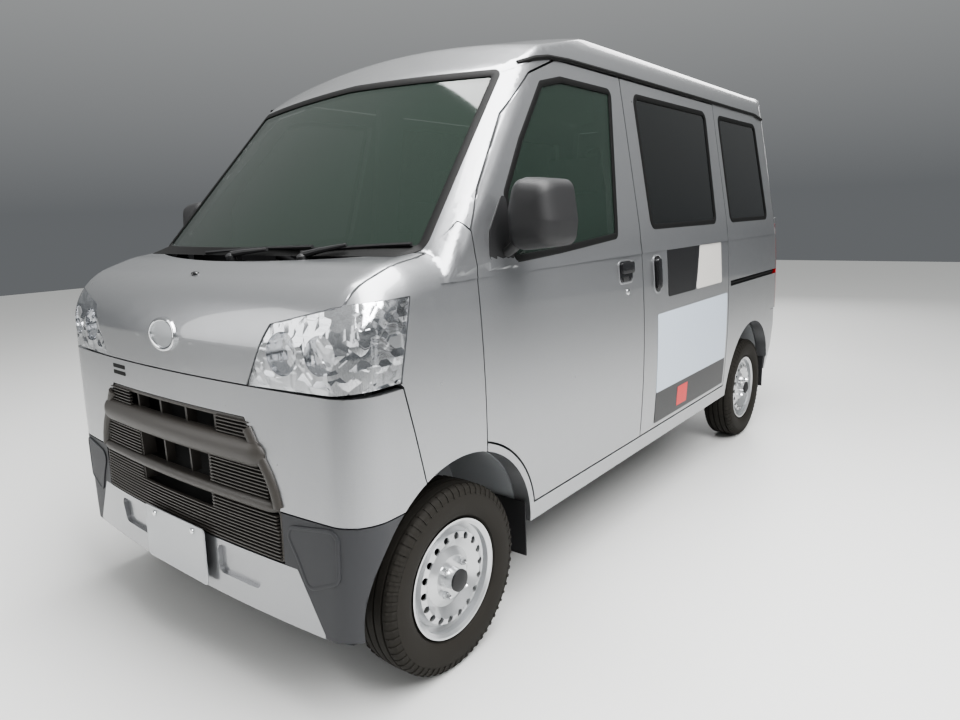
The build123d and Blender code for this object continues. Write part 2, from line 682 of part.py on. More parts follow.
# Engine block, frame and suspension, tank and exhaust
engine_z = 330
engine = block(-280, 220, aft(690), aft(1200), engine_z, 640)
rail_half = 365
rail_wide = 60
rail_low_z = 360
rail_front_aft = -330
rail_rear_aft = 2780
axle_kick = 150
rail_points = [
    (aft(rail_front_aft), rail_low_z + 20), (aft(shelf_front_aft), rail_low_z), (aft(1900), rail_low_z),
    (aft(2150), rail_low_z + axle_kick), (aft(rail_rear_aft), rail_low_z + axle_kick),
    (aft(rail_rear_aft), rail_low_z + axle_kick + 80), (aft(2110), rail_low_z + axle_kick + 80),
    (aft(1870), rail_low_z + 80), (aft(rail_front_aft), rail_low_z + 80),
]
rail_inside = rail_half - rail_wide / 2
rail_outside = rail_half + rail_wide / 2
chassis_pieces = [both_sides(side_prism(rail_points, rail_inside, rail_outside))]
cross_members = [
    # aft, height of the underside
    (-320, rail_low_z + 22), (120, rail_low_z + 20), (1260, rail_low_z + 10), (1800, rail_low_z + 10), (2720, rail_low_z + axle_kick + 10),
]
for at, low_z in cross_members:
    chassis_pieces.append(block(-rail_inside, rail_inside, aft(at), aft(at + 50), low_z, low_z + 50))
for sill_at in (480, 1300, 1760):
    outrigger = block(rail_outside, 640, aft(sill_at), aft(sill_at + 60), rail_low_z + 4, rail_low_z + 44)
    chassis_pieces.append(both_sides(outrigger))
arm_z = 190
arm_half = 30
arm_foot = rail_inside - 30
lower_arm = block(arm_foot, kingpin_half + 14, aft(-arm_half), aft(arm_half), arm_z, arm_z + 24)
lower_arm += block(arm_foot, rail_inside, aft(-arm_half), aft(arm_half), arm_z, rail_low_z + 60)
strut_x = 538
strut_r = 20
strut_foot_z = 332
strut_top_z = 600
kingpin_gap = 0.5
strut = Pos(strut_x, aft(0), strut_foot_z) * Cylinder(
    strut_r, strut_top_z - strut_foot_z, align=(Align.CENTER, Align.CENTER, Align.MIN))
strut += block(strut_x, kingpin_half + 14, aft(-14), aft(14), strut_foot_z, strut_foot_z + 16)
spring = Pos(strut_x, aft(0), 545) * Cylinder(48, 55, align=(Align.CENTER, Align.CENTER, Align.MIN))
chassis_pieces += [both_sides(lower_arm), both_sides(strut + spring)]
floor_limit -= both_sides(Pos(strut_x, aft(0), 440) * Cylinder(50, 161, align=(Align.CENTER, Align.CENTER, Align.MIN)))

axle_r = 32
axle_half = track_rear / 2 - 42
axle_clear = 10
floor_limit -= rod_x(-axle_half, axle_half, rear_axle_y, tyre_r, axle_r + axle_clear)
floor_pieces = [piece & floor_limit for piece in floor_pieces]
rear_axle = rod_x(-axle_half, axle_half, rear_axle_y, tyre_r, axle_r)
drive_case = rod_x(-80, 80, rear_axle_y, tyre_r, 105)
rear_axle += chamfer(drive_case.edges(), 38)
rear_axle += both_sides(rod_x(axle_half - 12, axle_half, rear_axle_y, tyre_r, 105))
rear_axle += rod((0, rear_axle_y - 60, tyre_r + 5), (0, aft(1300), 330), 32)
coil = Pos(rail_half, rear_axle_y, tyre_r + 20) * Cylinder(45, rail_low_z + axle_kick - tyre_r - 20, align=(Align.CENTER, Align.CENTER, Align.MIN))
rear_axle += both_sides(coil)
trailing = rod((rail_half + 60, rear_axle_y, tyre_r - 20), (rail_half + 60, aft(1880), rail_low_z + 30), 16)
rear_axle += both_sides(trailing + block(
    rail_half + rail_wide / 2, rail_half + 80, aft(1850), aft(1890), rail_low_z + 6, rail_low_z + 60))

fuel_tank = fillet(block(60, 330, aft(1350), aft(1770), 300, 490).edges().filter_by(Axis.Y), 30)
exhaust_x = -200
exhaust_z = 346
exhaust = rod((exhaust_x, aft(1200), exhaust_z), (exhaust_x, aft(2120), exhaust_z), 18)
exhaust += rod((exhaust_x, aft(1450), exhaust_z - 50), (exhaust_x, aft(1780), exhaust_z - 50), 70)

flap_wall = 4
flap_aft = 320
mud_flaps = both_sides(block(565, 712, aft(front_arch_aft + flap_aft), aft(front_arch_aft + flap_aft + flap_wall), 185, 365))
mud_flaps += both_sides(block(565, 712, aft(rear_arch_aft + flap_aft), aft(rear_arch_aft + flap_aft + flap_wall), 200, 375))

# Wheels: pressed steel rims, tyres, and what carries them
disc_x = wheel_offset
rim_profile = [
    # across from the wheel's middle (outwards), radius
    (-rim_width / 2, rim_r), (-rim_width / 2 + 7, bead_r + 3), (-rim_width / 2 + 26, bead_r + 3),
    (-rim_width / 2 + 36, bead_r - 14), (rim_width / 2 - 36, bead_r - 14), (rim_width / 2 - 22, bead_r + 3),
    (rim_width / 2 - 7, bead_r + 3), (rim_width / 2, rim_r), (rim_width / 2, rim_r - 6), (rim_width / 2 - 6, bead_r - 2),
    (rim_width / 2 - 24, bead_r - 2), (rim_width / 2 - 36, bead_r - 19), (-rim_width / 2 + 36, bead_r - 19),
    (-rim_width / 2 + 24, bead_r - 2), (-rim_width / 2 + 6, bead_r - 2), (-rim_width / 2, rim_r - 6),
]
disc_wall = 4.5
disc_profile = [
    (disc_x - disc_wall, bore_r), (disc_x, bore_r), (disc_x + 1, 62), (disc_x - 12, 84), (disc_x + 8, 112),
    (disc_x + 4, 128), (disc_x - 20, bead_r - 16), (disc_x - 26, bead_r - 16), (disc_x - disc_wall, 126),
    (disc_x + 3, 112), (disc_x - 16, 86), (disc_x - disc_wall, 64),
]


def turned(profile, side):
    view = Plane(origin=(0, 0, 0), x_dir=(1, 0, 0), z_dir=(0, -1, 0))
    face = view * make_face(Polyline(*[(side * across, radius) for across, radius in profile], close=True))
    return revolve(face, axis=Axis.X, revolution_arc=360)


def tyre_solid(side):
    half = tyre_width / 2
    bead_half = rim_width / 2 - 9
    wall = [
        # across from the middle, radius
        (bead_half, bead_r + 3.2), (bead_half, rim_r + 2), (half - 9, rim_r + 11), (half, rim_r + 38),
        (half - 2, tyre_r - 30), (half - 9, tyre_r - 13), (half - 22, tyre_r - 2.5), (half - 46, tyre_r),
    ]
    return turned(wall + [(-across, radius) for across, radius in reversed(wall)], side)


def rim_solid(side):
    rim = turned(rim_profile, side) + turned(disc_profile, side)
    for count in range(vent_count):
        angle = 2 * math.pi * count / vent_count
        rim -= rod_x(-90, 90, vent_circle_r * math.cos(angle), vent_circle_r * math.sin(angle), vent_r)
    for count in range(stud_count):
        angle = 2 * math.pi * (count + 0.5) / stud_count
        at_y = stud_circle / 2 * math.cos(angle)
        at_z = stud_circle / 2 * math.sin(angle)
        rim += rod_x(*sorted((side * (disc_x - 2), side * (disc_x + 16))), at_y, at_z, 9)
    cap = [(disc_x - 4, stub_r + stub_clearance), (disc_x + 26, stub_r + stub_clearance), (disc_x + 26, 0),
           (disc_x + 31, 0), (disc_x + 30, 26), (disc_x - 4, 31)]
    rim += turned(cap, side)
    return rim


stub_r = 14
hub_gap = 5
brake_r = 95


def stub(side, base_x, end_x):
    return rod_x(*sorted((side * base_x, side * end_x)), 0, 0, stub_r)


wheels = {}
for end, axle_y, track in (("front", front_axle_y, track_front), ("rear", rear_axle_y, track_rear)):
    for hand, side in (("left", 1), ("right", -1)):
        place = Pos(side * track / 2, axle_y, tyre_r)
        wheels[f"rim_{end}_{hand}"] = place * rim_solid(side)
        wheels[f"tyre_{end}_{hand}"] = place * tyre_solid(side)

knuckles = {}
for hand, side in (("left", 1), ("right", -1)):
    hub_x = track_front / 2 + disc_x - disc_wall - hub_gap
    knuckle = rod_x(*sorted((side * (hub_x - 44), side * hub_x)), front_axle_y, tyre_r, 46)
    knuckle += rod_x(*sorted((side * (hub_x - 50), side * (hub_x - 38))), front_axle_y, tyre_r, brake_r)
    knuckle += rod_x(*sorted((side * hub_x - side, side * (hub_x + 26))), front_axle_y, tyre_r, stub_r)
    knuckle += block(*sorted((side * (kingpin_half - 16), side * (hub_x - 40))), front_axle_y - 24, front_axle_y + 24,
                     arm_z + 34, strut_foot_z - 8)
    knuckle += rod((side * kingpin_half, front_axle_y, arm_z + 24.5), (side * kingpin_half, front_axle_y, arm_z + 40), 12)
    knuckle += block(*sorted((side * (kingpin_half - 40), side * (kingpin_half - 14))), front_axle_y, front_axle_y + 110,
                     tyre_r - 30, tyre_r - 10)
    knuckles[f"knuckle_{hand}"] = knuckle
for side in (1, -1):
    hub_x = track_rear / 2 + disc_x - disc_wall - hub_gap
    rear_axle += rod_x(*sorted((side * (axle_half - 2), side * hub_x)), rear_axle_y, tyre_r, 40)
    rear_axle += rod_x(*sorted((side * (hub_x - 2), side * (hub_x + 26))), rear_axle_y, tyre_r, stub_r)

# Fuel lid in the right side panel
lid_aft = 2640
lid_z = 770
lid_half = 78
lid_cut = block(-900, -500, aft(lid_aft - lid_half), aft(lid_aft + lid_half), lid_z - lid_half, lid_z + lid_half)
lid_gap = block(-900, -500, aft(lid_aft - lid_half) - 5.5, aft(lid_aft + lid_half) + 5.5, lid_z - lid_half - 5.5, lid_z + lid_half + 5.5)
fuel_lid = (outer - lens_inside) & lid_cut
side_panels = side_panels - (lid_gap - nose_hollow)

floor_pan = Compound(children=[solid for piece in floor_pieces for solid in piece.solids()])
chassis_frame = Compound(children=[solid for piece in chassis_pieces for solid in piece.solids()])

nodes = {
    "side_panels": side_panels, "roof": roof, "floor_pan": floor_pan, "fenders": fenders, "cowl": cowl,
    "sliding_doors": both_sides(sliding_door), "privacy_glass": both_sides(sliding_glass + quarter_glass),
    "windscreen": windscreen, "bumper_cover": bumper_cover, "lower_bumper": lower_bumper,
    "lower_garnish": lower_garnish, "headlamp_lenses": headlamp_lenses, "headlamp_housings": headlamp_housings,
    "wipers": wipers, "rear_bumper": rear_bumper, "tail_lamps": tail_lamps, "seats": seats, "dashboard": dashboard,
    "engine": engine, "chassis_frame": chassis_frame, "rear_axle": rear_axle, "fuel_tank": fuel_tank,
    "exhaust": exhaust, "mud_flaps": mud_flaps,
    "front_door_left": front_door, "door_glass_left": door_glass, "door_trim_left": front_door_trim,
    "front_door_right": front_door_right, "door_glass_right": mirror(door_glass, about=Plane.YZ),
    "door_trim_right": mirror(front_door_trim, about=Plane.YZ),
    "tailgate": tailgate, "tailgate_glass": tailgate_glass, "hood": hood, "steering_wheel": steering_wheel,
    "fuel_lid": fuel_lid, **knuckles, **wheels,
}

os.makedirs("parts", exist_ok=True)
for name, solid in nodes.items():
    export_step(Compound(label=name, children=list(solid.solids())), f"parts/{name}.step")
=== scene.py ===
import json
import math
import bmesh
import bpy
import numpy as np
from mathutils import Matrix, Vector


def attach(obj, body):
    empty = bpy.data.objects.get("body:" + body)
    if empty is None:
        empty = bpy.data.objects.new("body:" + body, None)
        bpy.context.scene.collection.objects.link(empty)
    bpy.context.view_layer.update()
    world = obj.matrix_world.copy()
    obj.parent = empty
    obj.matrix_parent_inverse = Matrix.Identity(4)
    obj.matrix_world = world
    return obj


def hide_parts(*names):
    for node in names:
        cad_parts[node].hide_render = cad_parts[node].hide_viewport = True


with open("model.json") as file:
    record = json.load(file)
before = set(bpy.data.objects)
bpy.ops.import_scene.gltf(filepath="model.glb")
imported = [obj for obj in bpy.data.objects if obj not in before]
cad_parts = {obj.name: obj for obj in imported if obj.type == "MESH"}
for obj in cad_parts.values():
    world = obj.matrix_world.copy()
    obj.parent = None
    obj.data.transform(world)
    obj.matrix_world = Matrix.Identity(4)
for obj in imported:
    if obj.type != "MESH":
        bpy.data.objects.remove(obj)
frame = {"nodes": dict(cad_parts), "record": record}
scene = bpy.context.scene
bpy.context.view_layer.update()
nodes = frame["nodes"]
frontAxle = -1302.5  # all places below are mm: across, aft of the front axle, height
print("frame loaded", len(nodes))


def place(point):
    return (point[0] / 1000, (point[1] + frontAxle) / 1000, point[2] / 1000)


# Materials
finish = {"coatRough": 0.03, "roughSpread": 0.05, "grainDepth": 0.001, "grainDetail": 4}


def newMaterial(name, color, rough=0.5, metal=0.0, coat=0.0, grain=0.0, grainScale=300.0, alpha=1.0,
                specular=0.5):
    mat = bpy.data.materials.new(name)
    mat.use_nodes = True
    tree = mat.node_tree
    shader = tree.nodes["Principled BSDF"]
    shader.inputs["Base Color"].default_value = (*color, 1)
    shader.inputs["Metallic"].default_value = metal
    shader.inputs["Roughness"].default_value = rough
    shader.inputs["Coat Weight"].default_value = coat
    shader.inputs["Coat Roughness"].default_value = finish["coatRough"]
    shader.inputs["Specular IOR Level"].default_value = specular
    shader.inputs["Alpha"].default_value = alpha
    coords = tree.nodes.new("ShaderNodeTexCoord")
    noise = tree.nodes.new("ShaderNodeTexNoise")
    noise.inputs["Scale"].default_value = grainScale
    noise.inputs["Detail"].default_value = finish["grainDetail"]
    tree.links.new(coords.outputs["Object"], noise.inputs["Vector"])
    spread = tree.nodes.new("ShaderNodeMapRange")
    spread.inputs["To Min"].default_value = max(rough - finish["roughSpread"], 0)
    spread.inputs["To Max"].default_value = rough + finish["roughSpread"]
    tree.links.new(noise.outputs["Fac"], spread.inputs["Value"])
    tree.links.new(spread.outputs["Result"], shader.inputs["Roughness"])
    if grain:
        bump = tree.nodes.new("ShaderNodeBump")
        bump.inputs["Strength"].default_value = grain
        bump.inputs["Distance"].default_value = finish["grainDepth"]
        tree.links.new(noise.outputs["Fac"], bump.inputs["Height"])
        tree.links.new(bump.outputs["Normal"], shader.inputs["Normal"])
    return mat


flake = {"scale": 2200, "darkest": 0.9, "lightest": 1.12, "bump": 0.06, "depth": 0.0005}


def paintMaterial(name, color):
    # flakes under a clear coat: a fine cell pattern turns the normal a little and lifts the colour
    mat = newMaterial(name, color, rough=0.3, metal=0.75, coat=1.0, grainScale=25)
    tree = mat.node_tree
    shader = tree.nodes["Principled BSDF"]
    coords = tree.nodes.new("ShaderNodeTexCoord")
    flakes = tree.nodes.new("ShaderNodeTexVoronoi")
    flakes.inputs["Scale"].default_value = flake["scale"]
    tree.links.new(coords.outputs["Object"], flakes.inputs["Vector"])
    tint = tree.nodes.new("ShaderNodeMix")
    tint.data_type = "RGBA"
    tint.inputs["A"].default_value = (*[c * flake["darkest"] for c in color], 1)
    tint.inputs["B"].default_value = (*[min(c * flake["lightest"], 1) for c in color], 1)
    tree.links.new(flakes.outputs["Color"], tint.inputs["Factor"])
    tree.links.new(tint.outputs["Result"], shader.inputs["Base Color"])
    bump = tree.nodes.new("ShaderNodeBump")
    bump.inputs["Strength"].default_value = flake["bump"]
    bump.inputs["Distance"].default_value = flake["depth"]
    tree.links.new(flakes.outputs["Distance"], bump.inputs["Height"])
    tree.links.new(bump.outputs["Normal"], shader.inputs["Normal"])
    return mat


facet = {"scale": 24, "bump": 0.7, "depth": 0.007}


def facetMaterial(name, color):
    # bright metal pressed in facets: straight cells, each turned its own way
    mat = newMaterial(name, color, rough=0.12, metal=1.0)
    tree = mat.node_tree
    shader = tree.nodes["Principled BSDF"]
    coords = tree.nodes.new("ShaderNodeTexCoord")
    cells = tree.nodes.new("ShaderNodeTexVoronoi")
    cells.distance = "CHEBYCHEV"
    cells.inputs["Scale"].default_value = facet["scale"]
    tree.links.new(coords.outputs["Object"], cells.inputs["Vector"])
    bump = tree.nodes.new("ShaderNodeBump")
    bump.inputs["Strength"].default_value = facet["bump"]
    bump.inputs["Distance"].default_value = facet["depth"]
    tree.links.new(cells.outputs["Distance"], bump.inputs["Height"])
    tree.links.new(bump.outputs["Normal"], shader.inputs["Normal"])
    return mat


silver = paintMaterial("silver paint", (0.31, 0.315, 0.325))
wheelSilver = paintMaterial("wheel silver", (0.56, 0.57, 0.58))
blackPlastic = newMaterial("black plastic", (0.018, 0.018, 0.019), rough=0.55, grain=0.25, grainScale=900)
bumperPlastic = newMaterial("bumper plastic", (0.035, 0.036, 0.04), rough=0.5, grain=0.35, grainScale=700)
glossBlack = newMaterial("gloss black", (0.012, 0.012, 0.013), rough=0.18, coat=0.5)
gasketRubber = newMaterial("gasket rubber", (0.008, 0.008, 0.008), rough=0.6, specular=0.2)
clearGlass = newMaterial("green glass", (0.02, 0.034, 0.026), rough=0.04, alpha=0.62, coat=0.6)
darkGlass = newMaterial("privacy glass", (0.004, 0.005, 0.005), rough=0.04, alpha=0.96, coat=0.4)
lensGlass = newMaterial("lens glass", (0.3, 0.31, 0.32), rough=0.05, alpha=0.06, coat=0.3, specular=0.3)
reflector = facetMaterial("lamp reflector", (0.66, 0.67, 0.69))
chrome = newMaterial("chrome", (0.78, 0.79, 0.8), rough=0.08, metal=1.0)
satinMetal = newMaterial("satin metal", (0.45, 0.46, 0.47), rough=0.35, metal=1.0)
redLens = newMaterial("red lens", (0.35, 0.01, 0.012), rough=0.1, coat=1.0)
amberLens = newMaterial("amber lens", (0.8, 0.25, 0.02), rough=0.12, coat=1.0)
whiteLens = newMaterial("white lens", (0.8, 0.8, 0.8), rough=0.1, coat=1.0)
blueBlack = newMaterial("blue black", (0.02, 0.035, 0.06), rough=0.25)
darkTrim = newMaterial("dark trim", (0.05, 0.05, 0.052), rough=0.6, grain=0.3, grainScale=500)
seatCloth = newMaterial("seat cloth", (0.09, 0.09, 0.1), rough=0.9, grain=0.9, grainScale=1500)
underBlack = newMaterial("chassis black", (0.015, 0.015, 0.016), rough=0.5, grain=0.2)
castMetal = newMaterial("cast metal", (0.32, 0.32, 0.33), rough=0.5, metal=0.9, grain=0.4, grainScale=250)
floorPaint = newMaterial("floor paint", (0.3, 0.31, 0.32), rough=0.5, grain=0.1)
tyreRubber = newMaterial("tyre rubber", (0.02, 0.018, 0.015), rough=0.75, specular=0.3, grain=0.3,
                         grainScale=400)
signBlue = newMaterial("sign pale blue", (0.52, 0.58, 0.66), rough=0.35)
signBlack = newMaterial("sign black", (0.012, 0.012, 0.013), rough=0.35)
signRed = newMaterial("sign red", (0.6, 0.02, 0.02), rough=0.35)
signLight = newMaterial("sign light", (0.6, 0.58, 0.55), rough=0.35)
plateSilver = newMaterial("plate silver", (0.5, 0.51, 0.52), rough=0.35, metal=0.6)
print("materials made")


# The smooth outer form that the panels are drawn onto
form = {
    "noseLean": 0.0357, "noseFoot": -395.0, "footHeight": 240.0, "sweep": 6000.0,
    "roundCentre": (-180.6, 924.9), "roundR": 190.0, "roundTurn": (2.0, 70.9),
    # aft, height of one point, rise for each mm aft, upright share of the plane's normal
    "hood": (-242.6, 1104.5, 0.3455, 0.945), "cowl": (-163.0, 1132.0, 0.1525, 0.988), "hoodBlend": 4.0,
    "belt": 1165.0, "beltHalf": 713.0, "bulgeHalf": 737.5, "bulgeHeight": 702.0, "bulgeR": 4375.0,
    "lean": 0.168, "beltBlend": 3.0, "cornerR": 90.0, "shoulder": 1167.0, "shoulderBlend": 4.0,
    "upperFoot": 1120.0,
    "screenFoot": (-102.0, 1136.0), "rake": 0.93, "screenSweep": 2250.0, "screenRound": 72.0,
    "pastScreen": -2000.0, "crown": 1875.0, "crownR": 3262.0, "roofRound": 54.6,
    # slope in degrees, aft, height of the two facets that drop to the screen's head
    "facets": ((30, 430, 1696), (12, 640, 1806)),
    "facetHalf": 640, "facetFlare": 0.4, "facetTop": 1812.2, "facetUpright": 0.928, "facetRound": 39.0,
    "facetBlend": 8.0, "tail": 2945.0, "tailLean": 0.045, "tailSweep": 9000.0, "tailRound": 80.0,
    "tailBowFrom": 1000, "tailBowOver": 170, "doorsFrom": 400,
}


def roundMax(a, b, r):
    return np.minimum(-r, np.maximum(a, b)) + np.hypot(np.maximum(r + a, 0), np.maximum(r + b, 0))


def softMax(a, b, k):
    h = np.maximum(k - np.abs(a - b), 0) / k
    return np.maximum(a, b) + h * h * k / 4


def halfWidth(z):
    low = form["bulgeHalf"] - (z - form["bulgeHeight"]) ** 2 / (2 * form["bulgeR"])
    high = form["beltHalf"] - form["lean"] * (z - form["belt"])
    return -softMax(-low, -high, form["beltBlend"])


def planeAbove(key, a, z):
    aft, height, rise, upright = form[key]
    return (z - height - rise * (a - aft)) * upright


def lowerField(x, a, z, side):
    axis = form["noseFoot"] + form["sweep"]
    a = axis - np.hypot(x, a - axis)
    noseLine = (form["noseFoot"] + form["noseLean"] * (z - form["footHeight"])) - a
    cy, cz = form["roundCentre"]
    start, end = form["roundTurn"]
    turn = np.degrees(np.arctan2(z - cz, cy - a))
    roundPart = np.hypot(a - cy, z - cz) - form["roundR"]
    tops = softMax(planeAbove("hood", a, z), planeAbove("cowl", a, z), form["hoodBlend"])
    upperPart = np.where((turn < end) & (a < cy), roundPart, tops)
    return roundMax(np.where(turn < start, noseLine, upperPart), side, form["cornerR"])


def upperField(x, a, z, side):
    screenAt = form["screenFoot"][0] + form["rake"] * (z - form["screenFoot"][1]) + form["screenSweep"]
    screen = np.hypot(x, a - screenAt) - form["screenSweep"]
    screen = np.where(a < screenAt, screen, form["pastScreen"])
    body = roundMax(screen, side, form["screenRound"])
    crownLine = form["crown"] - x * x / (2 * form["crownR"])
    body = roundMax(body, z - crownLine, form["roofRound"])
    for slope, at, height in form["facets"]:
        slope = math.radians(slope)
        shear = z - math.tan(slope) * (a - at) - (height - form["crown"])
        cap = (shear - crownLine) * math.cos(slope)
        half = form["facetHalf"] + form["facetFlare"] * (form["facetTop"] - shear)
        capSide = (np.abs(x) - half) * form["facetUpright"]
        body = softMax(body, roundMax(cap, capSide, form["facetRound"]), form["facetBlend"])
    bow = np.clip((z - form["tailBowFrom"]) / form["tailBowOver"], 0, 1)
    bow = bow * bow * (3 - 2 * bow)
    leanIn = form["tailLean"] * np.maximum(z - form["belt"], 0)
    return body, a - (form["tail"] - leanIn - bow * x * x / (2 * form["tailSweep"]))


def bodyField(p):
    x, a, z = p[:, 0], p[:, 1], p[:, 2]
    side = np.abs(x) - halfWidth(z)
    behind = 2 * np.maximum(a - form["doorsFrom"], 0)  # both limits only matter around the screen's foot
    lower = softMax(lowerField(x, a, z, side), z - form["shoulder"] - behind, form["shoulderBlend"])
    upper, tail = upperField(x, a, z, side)
    upper = np.maximum(upper, form["upperFoot"] - z - behind)
    return roundMax(np.minimum(lower, upper), tail, form["tailRound"])


crease = {"height": 1150, "reach": 60, "from": -120, "to": 320, "half": 500, "away": 99.0, "width": 25,
          "core": 0.2}


def creaseGap(p):
    # how far a point is from the crease where the pillar's foot stands on the shoulder
    x, a, z = p[:, 0], p[:, 1], p[:, 2]
    side = np.abs(x) - halfWidth(z)
    gap = np.abs(lowerField(x, a, z, side) - upperField(x, a, z, side)[0])
    close = (np.abs(z - crease["height"]) < crease["reach"]) & (np.abs(x) > crease["half"])
    return np.where(close & (a > crease["from"]) & (a < crease["to"]), gap, crease["away"])


def fieldSlope(p, step=0.25):
    slope = np.empty_like(p)
    for k in range(3):
        shift = np.zeros(3)
        shift[k] = step
        slope[:, k] = (bodyField(p + shift) - bodyField(p - shift)) / (2 * step)
    return slope


skin = {
    # mm: spacing of the cuts, furthest a point may lie from the form, and the trimmed garnish's own reach
    "grid": 28.0, "reach": 15.0, "garnishReach": 9.0, "weld": 0.00002,
    "facing": 0.75, "facingAfter": 0.5, "steps": 8, "stride": 3, "leastSlope": 0.2, "tooFar": 1.6,
    "fadeFrom": 1.7, "fadeOver": 6, "onForm": 0.8, "normalStep": 0.6,
}


def unitRows(rows):
    return rows / np.maximum(np.linalg.norm(rows, axis=1), 1e-6)[:, None]


def cutUp(mesh, weld, grid):
    # planes across all three axes divide the panel's flats, so that they can follow the form
    bm = bmesh.new()
    bm.from_mesh(mesh)
    bmesh.ops.remove_doubles(bm, verts=bm.verts, dist=weld)
    low = np.min([v.co for v in bm.verts], axis=0)
    high = np.max([v.co for v in bm.verts], axis=0)
    for axis in range(3):
        sliceAcross(bm, axis, low[axis], high[axis], int((high[axis] - low[axis]) * 1000 / grid))
    bmesh.ops.triangulate(bm, faces=bm.faces[:])
    bm.to_mesh(mesh)
    bm.free()


def sliceAcross(bm, axis, low, high, count):
    for k in range(1, count + 1):
        at = Vector((0, 0, 0))
        at[axis] = low + (high - low) * k / (count + 1)
        normal = Vector((0, 0, 0))
        normal[axis] = 1
        bmesh.ops.bisect_plane(bm, geom=bm.verts[:] + bm.edges[:] + bm.faces[:], plane_co=at, plane_no=normal)


def faceNormals(mesh):
    normals = np.empty(len(mesh.polygons) * 3)
    mesh.polygons.foreach_get("normal", normals)
    return normals.reshape(-1, 3)


def drawOnto(name, material, body, level, reach):
    # a copy of the node's mesh, its outer faces moved onto the form, with the form's own normals
    mesh = nodes[name].data.copy()
    mesh.materials.clear()
    mesh.name = name + "_skin"
    cutUp(mesh, skin["weld"], skin["grid"])
    count = len(mesh.vertices)
    co = np.empty(count * 3)
    mesh.vertices.foreach_get("co", co)
    p = co.reshape(-1, 3) * 1000
    p[:, 1] -= frontAxle
    corner = np.empty(len(mesh.loops), int)
    mesh.loops.foreach_get("vertex_index", corner)
    corner = corner.reshape(-1, 3)
    value = bodyField(p) - level
    unit = unitRows(fieldSlope(p))
    facing = np.einsum("ij,ij->i", faceNormals(mesh), unit[corner].mean(1))
    outer = (facing > skin["facing"]) & (np.abs(value[corner]).max(1) < reach)
    moving = np.zeros(count, bool)
    moving[corner[outer].ravel()] = True
    q = p.copy()
    for _ in range(skin["steps"]):
        slope = fieldSlope(q[moving])
        left = np.clip(bodyField(q[moving]) - level, -skin["stride"], skin["stride"])[:, None]
        q[moving] -= slope * left / np.maximum((slope * slope).sum(1), skin["leastSlope"])[:, None]
    far = np.linalg.norm(q - p, axis=1) > reach * skin["tooFar"]
    q[far] = p[far]
    # the move fades out near the crease and where panel and form differ
    share = np.clip(creaseGap(p) / crease["width"] - crease["core"], 0, 1)
    share = (share * np.clip(skin["fadeFrom"] - np.abs(value) / skin["fadeOver"], 0, 1))[:, None]
    q = p + (q - p) * share
    out = q.copy()
    out[:, 1] += frontAxle
    mesh.vertices.foreach_set("co", (out / 1000).ravel())
    mesh.update()
    faceNormal = faceNormals(mesh)
    unit = unitRows(fieldSlope(q, skin["normalStep"]))
    onForm = (np.abs(bodyField(q) - level) < skin["onForm"])[corner].all(1)
    smoothFace = onForm & (np.einsum("ij,ij->i", faceNormal, unit[corner].mean(1)) > skin["facingAfter"])
    smoothFace |= onForm & outer
    gathered = np.zeros((count, 3))
    for k in range(3):
        np.add.at(gathered, corner[outer][:, k], faceNormal[outer])
    unit = unitRows(unit * share + unitRows(gathered) * (1 - share))
    smoothFace |= outer & (share[corner][:, :, 0].min(1) < 1)
    loopNormals = np.repeat(faceNormal[:, None, :], 3, axis=1)
    loopNormals[smoothFace] = unit[corner[smoothFace]]
    mesh.polygons.foreach_set("use_smooth", np.ones(len(mesh.polygons), bool))
    mesh.normals_split_custom_set(loopNormals.reshape(-1, 3).tolist())
    mesh.materials.append(material)
    obj = bpy.data.objects.new(name + "_skin", mesh)
    scene.collection.objects.link(obj)
    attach(obj, body)
    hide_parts(name)
    print("skin", name, len(mesh.polygons), "on form", int(smoothFace.sum()))


bodyOf = {n: b for b, members in frame["record"]["behaviour"]["bodies"].items() for n in members}
# node, material, slot, level below the form; glass lies 3 mm in
skinTable = (
    ("side_panels", silver, "body_silver", 0), ("roof", silver, "body_silver", 0),
    ("fenders", silver, "body_silver", 0), ("sliding_doors", silver, "body_silver", 0),
    ("bumper_cover", silver, "body_silver", 0), ("lower_bumper", bumperPlastic, "black_plastic", 0),
    ("lower_garnish", silver, "body_silver", 0), ("front_door_left", silver, "body_silver", 0),
    ("front_door_right", silver, "body_silver", 0), ("tailgate", silver, "body_silver", 0),
    ("hood", silver, "body_silver", 0), ("fuel_lid", silver, "body_silver", 0),
    ("headlamp_lenses", lensGlass, "clear_lens", 0), ("tail_lamps", redLens, "red_lens", 0),
    ("windscreen", clearGlass, "green_glass", -3), ("door_glass_left", clearGlass, "green_glass", -3),
    ("door_glass_right", clearGlass, "green_glass", -3), ("privacy_glass", darkGlass, "dark_glass", -3),
    ("tailgate_glass", darkGlass, "dark_glass", -3),
)
for name, material, slotName, level in skinTable:
    reach = skin["garnishReach"] if name == "lower_garnish" else skin["reach"]
    drawOnto(name, material, bodyOf[name], level, reach)
print("skins drawn")

plain = {
    "floor_pan": floorPaint, "cowl": blackPlastic, "headlamp_housings": reflector, "wipers": blackPlastic,
    "rear_bumper": silver, "seats": seatCloth, "dashboard": darkTrim, "engine": castMetal,
    "chassis_frame": underBlack, "rear_axle": underBlack, "fuel_tank": underBlack, "exhaust": satinMetal,
    "mud_flaps": blackPlastic, "door_trim_left": blackPlastic, "door_trim_right": blackPlastic,
    "steering_wheel": darkTrim, "knuckle_left": underBlack, "knuckle_right": underBlack,
}
for end in ("front", "rear"):
    for hand in ("left", "right"):
        plain[f"rim_{end}_{hand}"] = wheelSilver
        plain[f"tyre_{end}_{hand}"] = tyreRubber
for name, material in plain.items():
    data = nodes[name].data
    data.materials.clear()
    data.materials.append(material)
print("plain nodes painted")

